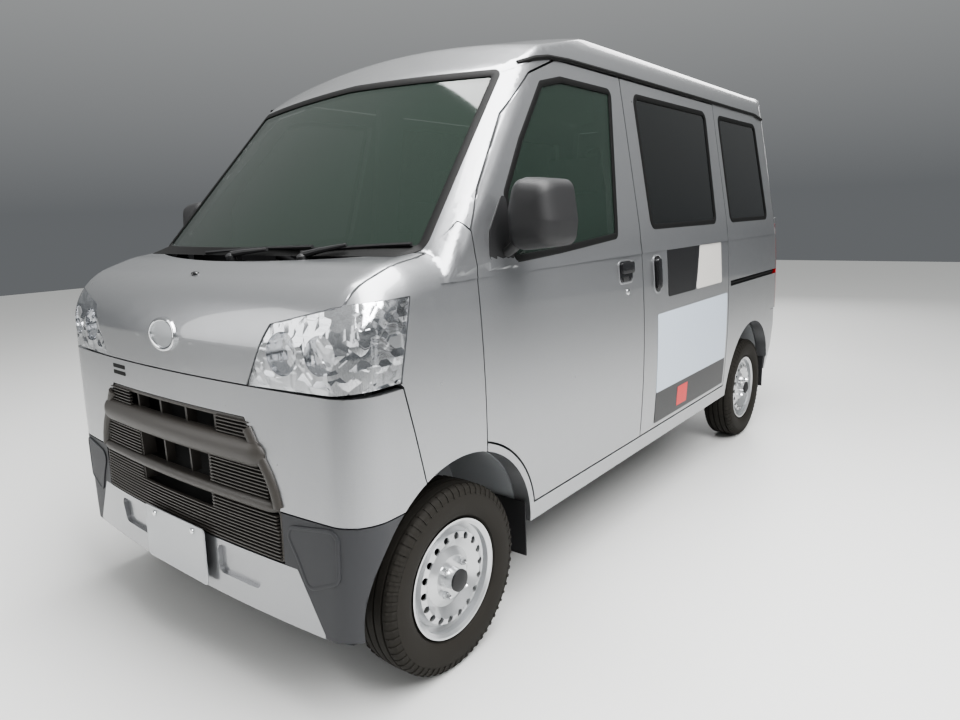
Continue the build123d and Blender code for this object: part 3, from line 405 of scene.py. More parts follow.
# Shapes, all in mm: a shape is its points and its faces, drawn straight into place
def joined(shapes):
    points, faces = [], []
    for some, around in shapes:
        base = len(points)
        points += [tuple(float(c) for c in p) for p in some]
        faces += [tuple(base + i for i in face) for face in around]
    return points, faces


def addPiece(name, shape, material, body="body_shell", sharp=35, bevel=0,
             standsFor=(), flat=False):
    mesh = bpy.data.meshes.new(name)
    mesh.from_pydata([place(p) for p in shape[0]], [], shape[1])
    mesh.materials.append(material)
    bm = bmesh.new()
    bm.from_mesh(mesh)
    bmesh.ops.remove_doubles(bm, verts=bm.verts, dist=0.00001)
    bmesh.ops.recalc_face_normals(bm, faces=bm.faces)
    if bevel:
        edges = [e for e in bm.edges if len(e.link_faces) == 2 and e.calc_face_angle() > math.radians(sharp)]
        bmesh.ops.bevel(bm, geom=edges, offset=bevel / 1000, segments=2, profile=0.6, affect="EDGES",
                        clamp_overlap=True)
    for edge in bm.edges:
        edge.smooth = len(edge.link_faces) == 2 and edge.calc_face_angle() < math.radians(sharp)
    for face in bm.faces:
        face.smooth = not flat
    bm.to_mesh(mesh)
    bm.free()
    obj = bpy.data.objects.new(name, mesh)
    scene.collection.objects.link(obj)
    return finishPiece(obj, body, standsFor)


def finishPiece(obj, body, standsFor=()):
    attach(obj, body)
    if standsFor:
        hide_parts(*standsFor)
    return obj


def brick(x0, x1, a0, a1, z0, z1):
    points = [(x, a, z) for x in (x0, x1) for a in (a0, a1) for z in (z0, z1)]
    return points, [(0, 1, 3, 2), (4, 6, 7, 5), (0, 4, 5, 1), (2, 3, 7, 6), (0, 2, 6, 4), (1, 5, 7, 3)]


def skinLoops(loops, closed=False):
    count = len(loops[0])
    points = [tuple(p) for loop in loops for p in loop]
    faces = []
    last = len(loops) if closed else len(loops) - 1
    for k in range(last):
        here = k * count
        there = ((k + 1) % len(loops)) * count
        for i in range(count):
            j = (i + 1) % count
            faces.append((here + i, here + j, there + j, there + i))
    if not closed:
        faces.append(tuple(range(count)))
        faces.append(tuple((len(loops) - 1) * count + i for i in range(count)))
    return points, faces


def lathe(profile, centre, steps):
    # the profile is (across, radius), turned about the wheel's axle
    loops = []
    for k in range(steps):
        turn = 2 * math.pi * k / steps
        c, w = math.cos(turn), math.sin(turn)
        loops.append([(centre[0] + u, centre[1] + r * c, centre[2] + r * w) for u, r in profile])
    return skinLoops(loops, closed=True)


def tube(path, radius, sides=10, closed=False, flat=1.0):
    path = np.array(path, float)
    ahead = np.roll(path, -1, 0) - path
    behind = path - np.roll(path, 1, 0)
    if not closed:
        ahead[-1], behind[0] = behind[-1], ahead[0]
    along = ahead / np.linalg.norm(ahead, axis=1)[:, None] + behind / np.linalg.norm(behind, axis=1)[:, None]
    along /= np.linalg.norm(along, axis=1)[:, None]
    normal = np.cross(along[0], (0.01, 0.02, 1.0))
    loops = []
    for k in range(len(path)):
        normal = normal - along[k] * normal.dot(along[k])
        normal /= np.linalg.norm(normal)
        side = np.cross(along[k], normal)
        r = radius[k] if hasattr(radius, "__len__") else radius
        turns = np.arange(sides) * 2 * math.pi / sides
        loops.append(path[k] + r * (np.cos(turns)[:, None] * normal + flat * np.sin(turns)[:, None] * side))
    return skinLoops(loops, closed=closed)


def sweep(path, outward, profile, sizes=None):
    # the profile is (out, across) pairs: out along the outward direction, across at right angles to the path
    path = np.array(path, float)
    along = np.gradient(path, axis=0)
    outward = np.array(outward, float)
    if outward.ndim == 1:
        outward = np.repeat(outward[None], len(path), 0)
    across = np.cross(along, outward)
    across /= np.linalg.norm(across, axis=1)[:, None]
    sizes = np.ones(len(path)) if sizes is None else sizes
    rows = zip(path, outward, across, sizes)
    return skinLoops([[p + (o * u + c * w) * k for u, w in profile] for p, o, c, k in rows])


def rounded(points, radius, step=24.0):
    # a closed outline with round corners, as a dense loop
    points = [np.array(p, float) for p in points]
    loop = []
    for k, here in enumerate(points):
        before, after = points[k - 1], points[(k + 1) % len(points)]
        u = (before - here) / np.linalg.norm(before - here)
        w = (after - here) / np.linalg.norm(after - here)
        half = math.acos(max(-1, min(1, u.dot(w)))) / 2
        shorter = min(np.linalg.norm(before - here), np.linalg.norm(after - here))
        cut = min(radius / math.tan(half), shorter * 0.48)
        r = cut * math.tan(half)
        middle = here + (u + w) / np.linalg.norm(u + w) * r / math.sin(half)
        start, end = here + u * cut - middle, here + w * cut - middle
        a0, a1 = math.atan2(start[1], start[0]), math.atan2(end[1], end[0])
        sweepTurn = (a1 - a0 + math.pi) % (2 * math.pi) - math.pi
        for i in range(7):
            turn = a0 + sweepTurn * i / 6
            loop.append(middle + r * np.array((math.cos(turn), math.sin(turn))))
    dense = []
    for k, here in enumerate(loop):
        there = loop[(k + 1) % len(loop)]
        count = max(1, int(np.linalg.norm(there - here) / step))
        dense += [here + (there - here) * i / count for i in range(count)]
    return np.array(dense)


def grown(loop, by):
    along = np.roll(loop, -1, 0) - np.roll(loop, 1, 0)
    along /= np.maximum(np.linalg.norm(along, axis=1), 1e-9)[:, None]
    area = np.sum(loop[:, 0] * np.roll(loop[:, 1], -1) - loop[:, 1] * np.roll(loop[:, 0], -1))
    out = np.stack([along[:, 1], -along[:, 0]], 1) * (1 if area > 0 else -1)
    return loop + out * by


# where a view's line starts outside the form and where it ends inside
viewEnds = {"left": (900, 300), "right": (-900, -300), "front": (-700, 900), "back": (3200, 2500)}


def castOnForm(points, view, level=0.0):
    # points of a side or end view, carried along that view until they meet the smooth form
    p = np.array(points, float)
    q = np.zeros((len(p), 3))
    q[:, 2] = p[:, 1]
    axis = 0 if view in ("left", "right") else 1
    q[:, 1 - axis] = p[:, 0]
    outer, inner = viewEnds[view]
    a, b = np.full(len(p), float(outer)), np.full(len(p), float(inner))
    for _ in range(36):
        q[:, axis] = (a + b) / 2
        outside = bodyField(q) > level
        a, b = np.where(outside, q[:, axis], a), np.where(outside, b, q[:, axis])
    q[:, axis] = (a + b) / 2
    return q


def plateOn(outline, view, low, high, grid=30.0):
    # a flat sheet cut to the outline and laid on the form, from its low level to its high one
    bm = bmesh.new()
    verts = [bm.verts.new((p[0], p[1], 0)) for p in outline]
    for k in range(len(verts)):
        bm.edges.new((verts[k], verts[(k + 1) % len(verts)]))
    bmesh.ops.triangle_fill(bm, use_beauty=True, use_dissolve=False, edges=bm.edges[:])
    flatPoints = np.array([v.co[:2] for v in bm.verts])
    for axis in (0, 1):
        start, end = flatPoints[:, axis].min(), flatPoints[:, axis].max()
        sliceAcross(bm, axis, start, end, int((end - start) / grid))
    bm.verts.index_update()
    flatPoints = np.array([v.co[:2] for v in bm.verts])
    faces = [tuple(v.index for v in f.verts) for f in bm.faces]
    edgeLoops = [e.link_loops[0] for e in bm.edges if len(e.link_faces) == 1]
    rim = [(loop.vert.index, loop.link_loop_next.vert.index) for loop in edgeLoops]
    bm.free()
    count = len(flatPoints)
    points = list(castOnForm(flatPoints, view, high)) + list(castOnForm(flatPoints, view, low))
    faces = faces + [tuple(count + i for i in reversed(f)) for f in faces]
    faces += [(b, a, count + a, count + b) for a, b in rim]
    return points, faces


def ringOn(loop, view, inward, outward, low, high):
    # a band along an outline that lies on the form: high in its middle, low along both edges
    shoulder = high - 1.2
    bands = ((inward, low), (inward, shoulder), (inward + 2, high), (outward - 2, high), (outward, shoulder),
             (outward, low))
    return skinLoops([castOnForm(grown(loop, by), view, level) for by, level in bands], closed=True)


def mirrored(shape):
    return [(-p[0], p[1], p[2]) for p in shape[0]], [tuple(reversed(f)) for f in shape[1]]


def pair(shape):
    return joined([shape, mirrored(shape)])


def ball(centre, radii, rows=10, columns=20):
    loops = []
    for k in range(rows + 1):
        t = math.pi * (k + 0.02) / (rows + 0.04)
        turns = [2 * math.pi * i / columns for i in range(columns)]
        ring = [(math.sin(t) * math.cos(w), math.sin(t) * math.sin(w), math.cos(t)) for w in turns]
        loops.append([tuple(centre[n] + radii[n] * c[n] for n in range(3)) for c in ring])
    return skinLoops(loops)


def disc(centre, direction, radius, thick, steps=24, dome=0.0):
    direction = Vector(direction).normalized()
    u = direction.orthogonal().normalized()
    w = direction.cross(u)
    base = Vector(centre)
    rings = [(0, radius), (thick * 0.8, radius), (thick, radius * 0.93)]
    if dome:
        rings += [(thick + dome * 0.7, radius * 0.55), (thick + dome, radius * 0.12)]
    loops = []
    for lift, r in rings:
        loops.append([tuple(base + direction * lift + (u * math.cos(t) + w * math.sin(t)) * r)
                      for t in (2 * math.pi * i / steps for i in range(steps))])
    return skinLoops(loops)


# Copies in a row or round a ring come from one Geometry Nodes tree
def repeatTree():
    tree = bpy.data.node_groups.new("repeat copies", "GeometryNodeTree")
    face = tree.interface
    face.new_socket("Geometry", in_out="INPUT", socket_type="NodeSocketGeometry")
    copies = face.new_socket("Copies", in_out="INPUT", socket_type="NodeSocketInt")
    step = face.new_socket("Step", in_out="INPUT", socket_type="NodeSocketVector")
    turnEach = face.new_socket("Turn each", in_out="INPUT", socket_type="NodeSocketVector")
    material = face.new_socket("Material", in_out="INPUT", socket_type="NodeSocketMaterial")
    face.new_socket("Geometry", in_out="OUTPUT", socket_type="NodeSocketGeometry")
    inputs = tree.nodes.new("NodeGroupInput")
    outputs = tree.nodes.new("NodeGroupOutput")
    line = tree.nodes.new("GeometryNodeMeshLine")
    onPoints = tree.nodes.new("GeometryNodeInstanceOnPoints")
    index = tree.nodes.new("GeometryNodeInputIndex")
    scale = tree.nodes.new("ShaderNodeVectorMath")
    scale.operation = "SCALE"
    real = tree.nodes.new("GeometryNodeRealizeInstances")
    paint = tree.nodes.new("GeometryNodeSetMaterial")
    link = tree.links.new
    link(inputs.outputs["Copies"], line.inputs["Count"])
    link(inputs.outputs["Step"], line.inputs["Offset"])
    link(line.outputs["Mesh"], onPoints.inputs["Points"])
    link(inputs.outputs["Geometry"], onPoints.inputs["Instance"])
    link(inputs.outputs["Turn each"], scale.inputs[0])
    link(index.outputs["Index"], scale.inputs["Scale"])
    link(scale.outputs["Vector"], onPoints.inputs["Rotation"])
    link(onPoints.outputs["Instances"], real.inputs["Geometry"])
    link(real.outputs["Geometry"], paint.inputs["Geometry"])
    link(inputs.outputs["Material"], paint.inputs["Material"])
    link(paint.outputs["Geometry"], outputs.inputs["Geometry"])
    sockets = {"copies": copies, "step": step, "turnEach": turnEach, "material": material}
    return tree, {key: socket.identifier for key, socket in sockets.items()}


repeater, repeaterInputs = repeatTree()


def repeated(shape, copies, step=(0, 0, 0), turnEach=(0, 0, 0), material=None):
    # the shape is in mm about the row's start or the ring's centre; the result comes back as a shape in mm
    mesh = bpy.data.meshes.new("repeat source")
    mesh.from_pydata([tuple(c / 1000 for c in p) for p in shape[0]], [], shape[1])
    obj = bpy.data.objects.new("repeat source", mesh)
    scene.collection.objects.link(obj)
    modifier = obj.modifiers.new("copies", "NODES")
    modifier.node_group = repeater
    modifier[repeaterInputs["copies"]] = copies
    modifier[repeaterInputs["step"]] = tuple(c / 1000 for c in step)
    modifier[repeaterInputs["turnEach"]] = turnEach
    modifier[repeaterInputs["material"]] = material
    bpy.context.view_layer.update()
    baked = bpy.data.meshes.new_from_object(obj.evaluated_get(bpy.context.evaluated_depsgraph_get()))
    points = [tuple(c * 1000 for c in v.co) for v in baked.vertices]
    faces = [tuple(f.vertices) for f in baked.polygons]
    obj.modifiers.remove(modifier)
    bpy.data.objects.remove(obj)
    bpy.data.meshes.remove(baked)
    return points, faces


def moved(shape, by):
    return [tuple(p[k] + by[k] for k in range(3)) for p in shape[0]], shape[1]


def frontLine(x, z, back=0.0):
    # a point on the nose's lean and sweep, the given depth behind it
    bow = x * x / (2 * form["sweep"])
    return (x, form["noseFoot"] + form["noseLean"] * (z - form["footHeight"]) + bow + back, z)


print("shape helpers ready")

# Window rubbers
windows = {
    "door": [(300, 1104), (300, 1296), (416, 1450), (575, 1628), (700, 1656), (1040, 1656), (938, 1142),
             (560, 1116)],
    "sliding": [(1222, 1163), (1930, 1163), (1962, 1662), (1216, 1662)],
    "quarter": [(2122, 1163), (2724, 1163), (2690, 1662), (2122, 1662)],
    "screen": [(-648, 1146), (648, 1146), (578, 1655), (0, 1679), (-578, 1655)],
    "gate": [(-560, 1170), (560, 1170), (512, 1640), (-512, 1640)],
    "rounding": {"door": 23, "sliding": 38, "quarter": 38, "screen": 30, "gate": 40},
    "inward": -17.0, "screenInward": -20.0, "outward": 3.0, "under": -5.0, "proud": 1.6,
}


def windowRubber(key, view, inward=windows["inward"]):
    outline = rounded(windows[key], windows["rounding"][key])
    return ringOn(outline, view, inward, windows["outward"], windows["under"], windows["proud"])


for hand in ("left", "right"):
    addPiece(f"door_rubber_{hand}", windowRubber("door", hand), gasketRubber, f"door_{hand}")
    sideRubbers = joined([windowRubber("sliding", hand), windowRubber("quarter", hand)])
    addPiece(f"side_rubbers_{hand}", sideRubbers, gasketRubber)
addPiece("screen_rubber", windowRubber("screen", "front", windows["screenInward"]), gasketRubber)
addPiece("gate_rubber", windowRubber("gate", "back"), gasketRubber, "tailgate_door")
print("window rubbers made")

# Door mirrors on their sail plates
mirror = {
    "outline": [(752, 1135), (892, 1150), (900, 1215), (884, 1322), (770, 1335), (748, 1250)],
    "rounding": 34, "step": 12,
    # aft, share of the outline's size
    "shells": [(203, 0.35), (207, 0.6), (216, 0.8), (234, 0.93), (262, 0.99), (310, 1.0), (349, 0.99),
               (353, 0.95), (352, 0.9), (340, 0.88)],
    "glass": [(338, 0.87), (343, 0.87)],
    "arm": [(706, 272, 1128), (735, 268, 1142), (768, 268, 1168)], "armRadius": 22, "armFlat": 0.6,
    "armSides": 16, "sail": [(186, 1116), (301, 1108), (301, 1312), (204, 1196)], "sailRounding": 14,
    "sailLevels": (-3, 3.5),
}
mirrorLoop = rounded(mirror["outline"], mirror["rounding"], mirror["step"])


def mirrorShell(rows):
    middle = mirrorLoop.mean(0)
    sections = []
    for aft, share in rows:
        sections.append([(middle[0] + (p[0] - middle[0]) * share, aft, middle[1] + (p[1] - middle[1]) * share)
                         for p in mirrorLoop])
    return skinLoops(sections)


mirrorArm = tube(mirror["arm"], mirror["armRadius"], mirror["armSides"], flat=mirror["armFlat"])
mirrorHead = joined([mirrorArm, mirrorShell(mirror["shells"])])
mirrorGlass = mirrorShell(mirror["glass"])
for hand, across in (("left", 1), ("right", -1)):
    sail = plateOn(rounded(mirror["sail"], mirror["sailRounding"]), hand, *mirror["sailLevels"])
    head = mirrorHead if across > 0 else mirrored(mirrorHead)
    glass = mirrorGlass if across > 0 else mirrored(mirrorGlass)
    addPiece(f"mirror_{hand}", joined([head, sail]), blackPlastic, f"door_{hand}",
             standsFor=(f"door_trim_{hand}",))
    addPiece(f"mirror_glass_{hand}", glass, chrome, f"door_{hand}")
print("mirrors made")

# Handles: a flap over a recess on the front doors, an upright pull on the sliding doors
handle = {
    "recess": [(932, 984), (1034, 984), (1034, 1056), (932, 1056)], "recessRounding": 16,
    "flap": [(935, 1014), (1031, 1014), (1031, 1054), (935, 1054)], "flapRounding": 9,
    "flapLevels": (1, 13),
    "pocket": [(1222, 920), (1286, 920), (1286, 1058), (1222, 1058)], "pocketRounding": 24,
    "pull": [(1228, 934), (1262, 934), (1262, 1050), (1228, 1050)], "pullRounding": 15, "pullLevels": (1, 17),
    "floor": (-2, 1.2), "rim": (0, 7, -1, 3), "step": 10, "key": (992, 946), "keyRadius": 11,
}
for hand, across in (("left", 1), ("right", -1)):
    door = f"door_{hand}"
    recess = rounded(handle["recess"], handle["recessRounding"], handle["step"])
    flap = rounded(handle["flap"], handle["flapRounding"], handle["step"])
    grip = joined([plateOn(recess, hand, *handle["floor"]), plateOn(flap, hand, *handle["flapLevels"])])
    addPiece(f"handle_{hand}", grip, glossBlack, door, bevel=2.5)
    addPiece(f"handle_rim_{hand}", ringOn(recess, hand, *handle["rim"]), silver, door)
    lock = castOnForm([handle["key"]], hand, 0)[0]
    keyDisc = disc(lock, (across, 0, 0), handle["keyRadius"], 3, dome=1)
    addPiece(f"lock_{hand}", keyDisc, chrome, door)
    pocket = rounded(handle["pocket"], handle["pocketRounding"], handle["step"])
    pull = rounded(handle["pull"], handle["pullRounding"], handle["step"])
    pull = plateOn(pull, hand, *handle["pullLevels"])
    slidingGrip = joined([plateOn(pocket, hand, *handle["floor"]), pull])
    addPiece(f"sliding_pull_{hand}", slidingGrip, glossBlack, bevel=3)
    addPiece(f"sliding_rim_{hand}", ringOn(pocket, hand, *handle["rim"]), silver)
print("handles made")

# The blank magnet sheets on the left sliding door
sheets = {
    # name: outline, corner, material, levels
    "small_dark": ([(1352, 888), (1640, 888), (1700, 1083), (1352, 1083)], 9, signBlack, (0.2, 1.4)),
    "small_light": ([(1652, 888), (1968, 888), (1968, 1083), (1712, 1083)], 9, signLight, (0.2, 1.4)),
    "large": ([(1247, 508), (2048, 508), (2048, 829), (1247, 829)], 9, signBlue, (0.2, 1.4)),
    "band": ([(1247, 378), (2048, 378), (2048, 508), (1247, 508)], 9, signBlack, (0.2, 1.4)),
    "square": ([(1470, 400), (1580, 400), (1580, 486), (1470, 486)], 3, signRed, (1.2, 1.9)),
}
for name, (outline, corner, material, levels) in sheets.items():
    addPiece(f"sheet_{name}", plateOn(rounded(outline, corner), "left", *levels), material)
print("sheets made")

# Black drip mouldings and the rails in the rear quarters
drip = {
    "line": [(500, 1675), (560, 1694), (640, 1709), (760, 1716), (1100, 1718), (2000, 1718), (2700, 1716),
             (2820, 1700)],
    "steps": 12, "level": 3, "radius": 7.5, "sides": 8,
}
rail = {
    "height": 868, "from": 2106, "to": 2862, "step": 28, "level": -9,
    "section": [(-6, -12), (-6, 12), (-2, 12), (-2, 4), (4, 4), (4, -4), (-2, -4), (-2, -12)],
}
dripEnds = np.array(drip["line"], float)
dripShares = np.linspace(0, 1, drip["steps"], endpoint=False)[:, None]
dripRuns = [start + (end - start) * dripShares for start, end in zip(dripEnds[:-1], dripEnds[1:])]
dripLine = np.concatenate(dripRuns + [dripEnds[-1:]])
for hand, across in (("left", 1), ("right", -1)):
    moulding = tube(castOnForm(dripLine, hand, drip["level"]), drip["radius"], drip["sides"])
    addPiece(f"drip_{hand}", moulding, gasketRubber)
    along = [(a, rail["height"]) for a in range(rail["from"], rail["to"], rail["step"])]
    track = sweep(castOnForm(along, hand, rail["level"]), (across, 0, 0), rail["section"])
    addPiece(f"rail_{hand}", track, gasketRubber, flat=True)
print("mouldings made")

# Grille: two heavy bars, fine slats, posts and a black sheet behind them, painted shade for the dark space
# behind
grille = {
    # black is painted shade: the colour of the sheet behind the grille and of the bumper slots
    "grey": (0.055, 0.05, 0.045), "black": (0.004, 0.004, 0.004),
    "hole": [(-354, 761), (354, 761), (472, 530), (472, 404), (-472, 404), (-472, 530)], "corner": 12,
    "backWider": 1.02, "backLevels": (-80, -74), "rim": (-9, 1, -28, -2),
    # height, half length, half height, proud of the nose
    "upperBar": (674.0, 428, 35.0, 22), "lowerBar": (546.0, 470, 16, 12), "barEnd": 44, "barTip": 0.985,
    "root": -20,
    "sideBar": [(466, 548), (456, 585), (440, 622), (415, 660), (388, 700), (366, 736)], "sideSize": (17, 15),
    "slatPitch": 9.5, "slatDepth": 6, "slatSection": [(0, -2.2), (9, -1.6), (9, 1.6), (0, 2.2)],
    # inner end, outer end, points, lowest, highest: one row on each side of the middle
    "sideRows": [(190, 432, 10, 568, 636), (190, 458, 10, 494, 528), (235, 372, 8, 714, 754)],
    "lowRow": (-464, 464, 40, 410, 488),
    # places across, half width, height measured at, depth of front and back, foot, top
    "posts": [((-210, -70, 70, 210), 5, 735, 12, 40, 700, 764),
              ((-210, -70, 70, 210), 4, 600, 14, 40, 560, 645),
              ((-190, 190), 5, 600, 1, 40, 560, 645), ((-190, 190), 5, 600, -2, 36, 488, 532)],
}
grilleGrey = newMaterial("grille grey", grille["grey"], rough=0.42, grain=0.15, grainScale=900)
# this near-black material is painted shade: it stands for the dark space behind the grille and inside the
# bumper slots
shadeBlack = newMaterial("painted shade black", grille["black"], rough=0.8)
backOutline = rounded([(x * grille["backWider"], z) for x, z in grille["hole"]], grille["corner"])
# a black sheet behind the grille's hole, painted shade for the dark space behind
addPiece("grille_back_shade", plateOn(backOutline, "front", *grille["backLevels"]), shadeBlack)
addPiece("grille_rim", ringOn(rounded(grille["hole"], grille["corner"]), "front", *grille["rim"]), grilleGrey)


def halfRound(height, proud):
    turns = [math.pi * k / 12 for k in range(13)]
    bow = [(proud * math.sin(t), -height * math.cos(t)) for t in turns]
    return bow + [(grille["root"], height), (grille["root"], -height)]


def grilleBar(key):
    # the bar narrows to a rounded end over its last stretch
    height, half, halfHeight, proud = grille[key]
    xs = half * np.sin(np.linspace(-math.pi / 2, math.pi / 2, 49))
    ends = np.clip((np.abs(xs) - half + grille["barEnd"]) / grille["barEnd"], 0, grille["barTip"])
    line = [frontLine(x, height) for x in xs]
    return sweep(line, (0, -1, 0), halfRound(halfHeight, proud), np.sqrt(1 - ends ** 2))


def slatRow(start, end, count, low, high):
    xs = np.linspace(start, end, count)
    line = [np.array(frontLine(x, low, grille["slatDepth"])) - (0, 0, low) for x in xs]
    slat = sweep(line, (0, -1, 0), grille["slatSection"])
    pitch = grille["slatPitch"]
    copies = int((high - low) / pitch) + 1
    rows = repeated(slat, copies, (0, form["noseLean"] * pitch, pitch), material=grilleGrey)
    return moved(rows, (0, 0, low))


def grillePost(x, half, height, front, back, foot, top):
    y = frontLine(x, height)[1]
    return brick(x - half, x + half, y + front, y + back, foot, top)


sideLine = [frontLine(x, z, 3) for x, z in grille["sideBar"]]
sideBars = pair(sweep(sideLine, (0, -1, 0), halfRound(*grille["sideSize"])))
addPiece("grille_bar_upper", joined([grilleBar("upperBar"), sideBars]), grilleGrey)
addPiece("grille_bar_lower", grilleBar("lowerBar"), grilleGrey)
slats = [slatRow(*grille["lowRow"])]
for start, end, count, low, high in grille["sideRows"]:
    slats += [slatRow(start, end, count, low, high), slatRow(-end, -start, count, low, high)]
posts = [grillePost(x, *row) for places, *row in grille["posts"] for x in places]
addPiece("grille_slats", joined(slats + posts), grilleGrey, flat=True)
print("grille made")

# Bumper details: blank fog covers, two slots drawn as flat black marks of painted shade, the blank plate
fogCover = {"outline": [(486, 503), (660, 528), (655, 402), (560, 360), (530, 428)], "corner": 22, "step": 14,
            "levels": (-1, 2.5), "ringOut": 2, "ring": (-5, 5, -1, 4)}
fogLoop = rounded(fogCover["outline"], fogCover["corner"], fogCover["step"])
fogRing = ringOn(grown(fogLoop, fogCover["ringOut"]), "front", *fogCover["ring"])
fogShapes = pair(joined([plateOn(fogLoop, "front", *fogCover["levels"]), fogRing]))
addPiece("fog_covers", fogShapes, bumperPlastic)

slot = {"from": -340, "to": -256, "heights": (803, 823), "half": 6, "corner": 3, "step": 8,
        "levels": (-1, 0.8)}


def slotAt(z):
    low, high = z - slot["half"], z + slot["half"]
    outline = [(slot["from"], low), (slot["to"], low), (slot["to"], high), (slot["from"], high)]
    return plateOn(rounded(outline, slot["corner"], slot["step"]), "front", *slot["levels"])


# the two slots are flat black plates on the bumper: painted shade for their openings
addPiece("bumper_slot_shades", joined([slotAt(z) for z in slot["heights"]]), shadeBlack)

plate = {
    "centre": (-4, 339), "half": (165, 82.5), "aft": -409.0, "corner": 12, "step": 20,
    # inwards, aft of the plate's face
    "edge": [(0, 3), (0, 0.4), (-1.5, -1), (-5, -1), (-7, 0.4)],
    "bolts": (-109, 101), "boltHeight": 404, "boltRadius": 9, "boltThick": 5,
    "holder": [(-90, 82, -405, -392, 262, 300), (-90, 82, -404, -388, 380, 412)],
}
corners = [(plate["centre"][0] + i * plate["half"][0], plate["centre"][1] + j * plate["half"][1])
           for i, j in ((-1, -1), (1, -1), (1, 1), (-1, 1))]
plateFace = rounded(corners, plate["corner"], plate["step"])
plateLoops = [[(p[0], plate["aft"] + lift + form["noseLean"] * (p[1] - plate["centre"][1]), p[1])
               for p in grown(plateFace, by)] for by, lift in plate["edge"]]
addPiece("plate_blank", skinLoops(plateLoops), plateSilver)
boltPlaces = [(x, plate["aft"] + 3, plate["boltHeight"]) for x in plate["bolts"]]
bolts = [disc(at, (0, -1, 0), plate["boltRadius"], plate["boltThick"], dome=2) for at in boltPlaces]
addPiece("plate_bolts", joined(bolts), chrome)
addPiece("plate_holder", joined([brick(*row) for row in plate["holder"]]), blackPlastic)

# Oval badge, blank, and the washer nozzle
badge = {"centre": (8, 948), "half": (70, 46.5), "ringIn": -5, "ring": (-5, 5, -1, 8), "faceIn": -9,
         "face": (-1, 3, 12)}
turns = np.arange(48) * math.pi / 24
oval = np.array(badge["centre"]) + np.stack([np.cos(turns), np.sin(turns)], 1) * badge["half"]
badgeRing = ringOn(grown(oval, badge["ringIn"]), "front", *badge["ring"])
addPiece("badge_ring", badgeRing, chrome, "hood_panel")
badgeFace = plateOn(grown(oval, badge["faceIn"]), "front", *badge["face"])
addPiece("badge_face", badgeFace, satinMetal, "hood_panel")
nozzle = {"centre": (0, -250, 1103), "radii": (14, 11, 6)}
addPiece("washer_nozzle", ball(nozzle["centre"], nozzle["radii"]), glossBlack, "hood_panel")
print("bumper details made")

# Headlamps: fluted bowls, bulbs, divider, dark slats and a small amber bulb behind each clear lens
headlamp = {
    # across, height, radius, aft of the rim, depth
    "bowls": [(510, 925, 62, -312, 70), (636, 930, 44, -262, 50)], "flutes": 20, "fluteDepth": 0.02,
    # share of the radius, share of the depth
    "rings": [(1.06, 0), (1.0, 0.02), (0.86, 0.3), (0.66, 0.58), (0.42, 0.82), (0.18, 0.97)],
    "slats": 4, "slatTop": 1032, "slatPitch": 15, "slatInner": 540, "slatStep": 12, "slatOuter": 652,
    "slatLevel": -9, "slatRadius": 4, "divider": (588, 872, 1010), "dividerLevel": -22, "dividerRadius": 6,
    "mainBulb": ((510, -285, 925), (16, 24, 16)),
    "amberBulbs": [((636, -238, 930), (11, 18, 11)), ((672, -228, 890), (12, 14, 12))],
}


def lampBowl(x, z, radius, front, deep):
    loops = []
    turns = np.arange(80) * math.pi / 40
    for share, back in headlamp["rings"]:
        wavy = radius * share * (1 + headlamp["fluteDepth"] * np.cos(headlamp["flutes"] * turns))
        y = front + deep * back
        loops.append([(x + r * math.cos(t), y, z + r * math.sin(t)) for r, t in zip(wavy, turns)])
    return skinLoops(loops)


def lampSlat(k):
    z = headlamp["slatTop"] - headlamp["slatPitch"] * k
    xs = np.linspace(headlamp["slatInner"] - headlamp["slatStep"] * k, headlamp["slatOuter"], 9)
    return tube(castOnForm([(x, z) for x in xs], "front", headlamp["slatLevel"]), headlamp["slatRadius"], 6)


dividerX, dividerLow, dividerHigh = headlamp["divider"]
dividerLine = [(dividerX, z) for z in np.linspace(dividerLow, dividerHigh, 8)]
divider = tube(castOnForm(dividerLine, "front", headlamp["dividerLevel"]), headlamp["dividerRadius"], 8)
bowls = [lampBowl(*row) for row in headlamp["bowls"]]
addPiece("lamp_bowls", pair(joined(bowls + [divider])), reflector)
lampSlats = joined([lampSlat(k) for k in range(headlamp["slats"])])
addPiece("lamp_slats", pair(lampSlats), blueBlack)
addPiece("lamp_bulbs", pair(ball(*headlamp["mainBulb"])), whiteLens)
amberBulbs = joined([ball(*row) for row in headlamp["amberBulbs"]])
addPiece("lamp_amber", pair(amberBulbs), amberLens)
print("lamps made")

# Wipers: pivot cap, arm and blade, resting on the glass foot
wiper = {
    # pivot, arm end, blade start, blade end
    "pair": [((-19, -117, 1140), (135, -97, 1158), (-215, -84, 1150), (306, -71, 1168)),
             ((297, -99, 1139), (430, -55, 1168), (265, -79, 1153), (612, 2, 1171))],
    "cap": (15, 20, 6), "capDrop": 12, "armRadii": [10, 8, 5], "bladeBow": 3, "bladeRadius": 5.5,
    "lip": (0, 5, -6), "lipRadius": 3,
}
wiperShapes = []
for row in wiper["pair"]:
    pivot, armEnd, start, end = (np.array(p, float) for p in row)
    radius, thick, dome = wiper["cap"]
    wiperShapes.append(disc(pivot - (0, 0, wiper["capDrop"]), (0, -0.3, 1), radius, thick, dome=dome))
    armLine = [pivot + (0, 0, 8), pivot * 0.6 + armEnd * 0.4 + (0, -2, 8), armEnd + (0, -2, 4)]
    wiperShapes.append(tube(armLine, wiper["armRadii"], 8))
    shares = np.linspace(0, 1, 21)
    blade = [start + (end - start) * t + (0, 0, wiper["bladeBow"] * math.sin(math.pi * t)) for t in shares]
    wiperShapes.append(tube(blade, wiper["bladeRadius"], 6))
    wiperShapes.append(tube([p + wiper["lip"] for p in blade], wiper["lipRadius"], 6))
addPiece("wiper_pair", joined(wiperShapes), blackPlastic, standsFor=("wipers",))
print("wipers made")

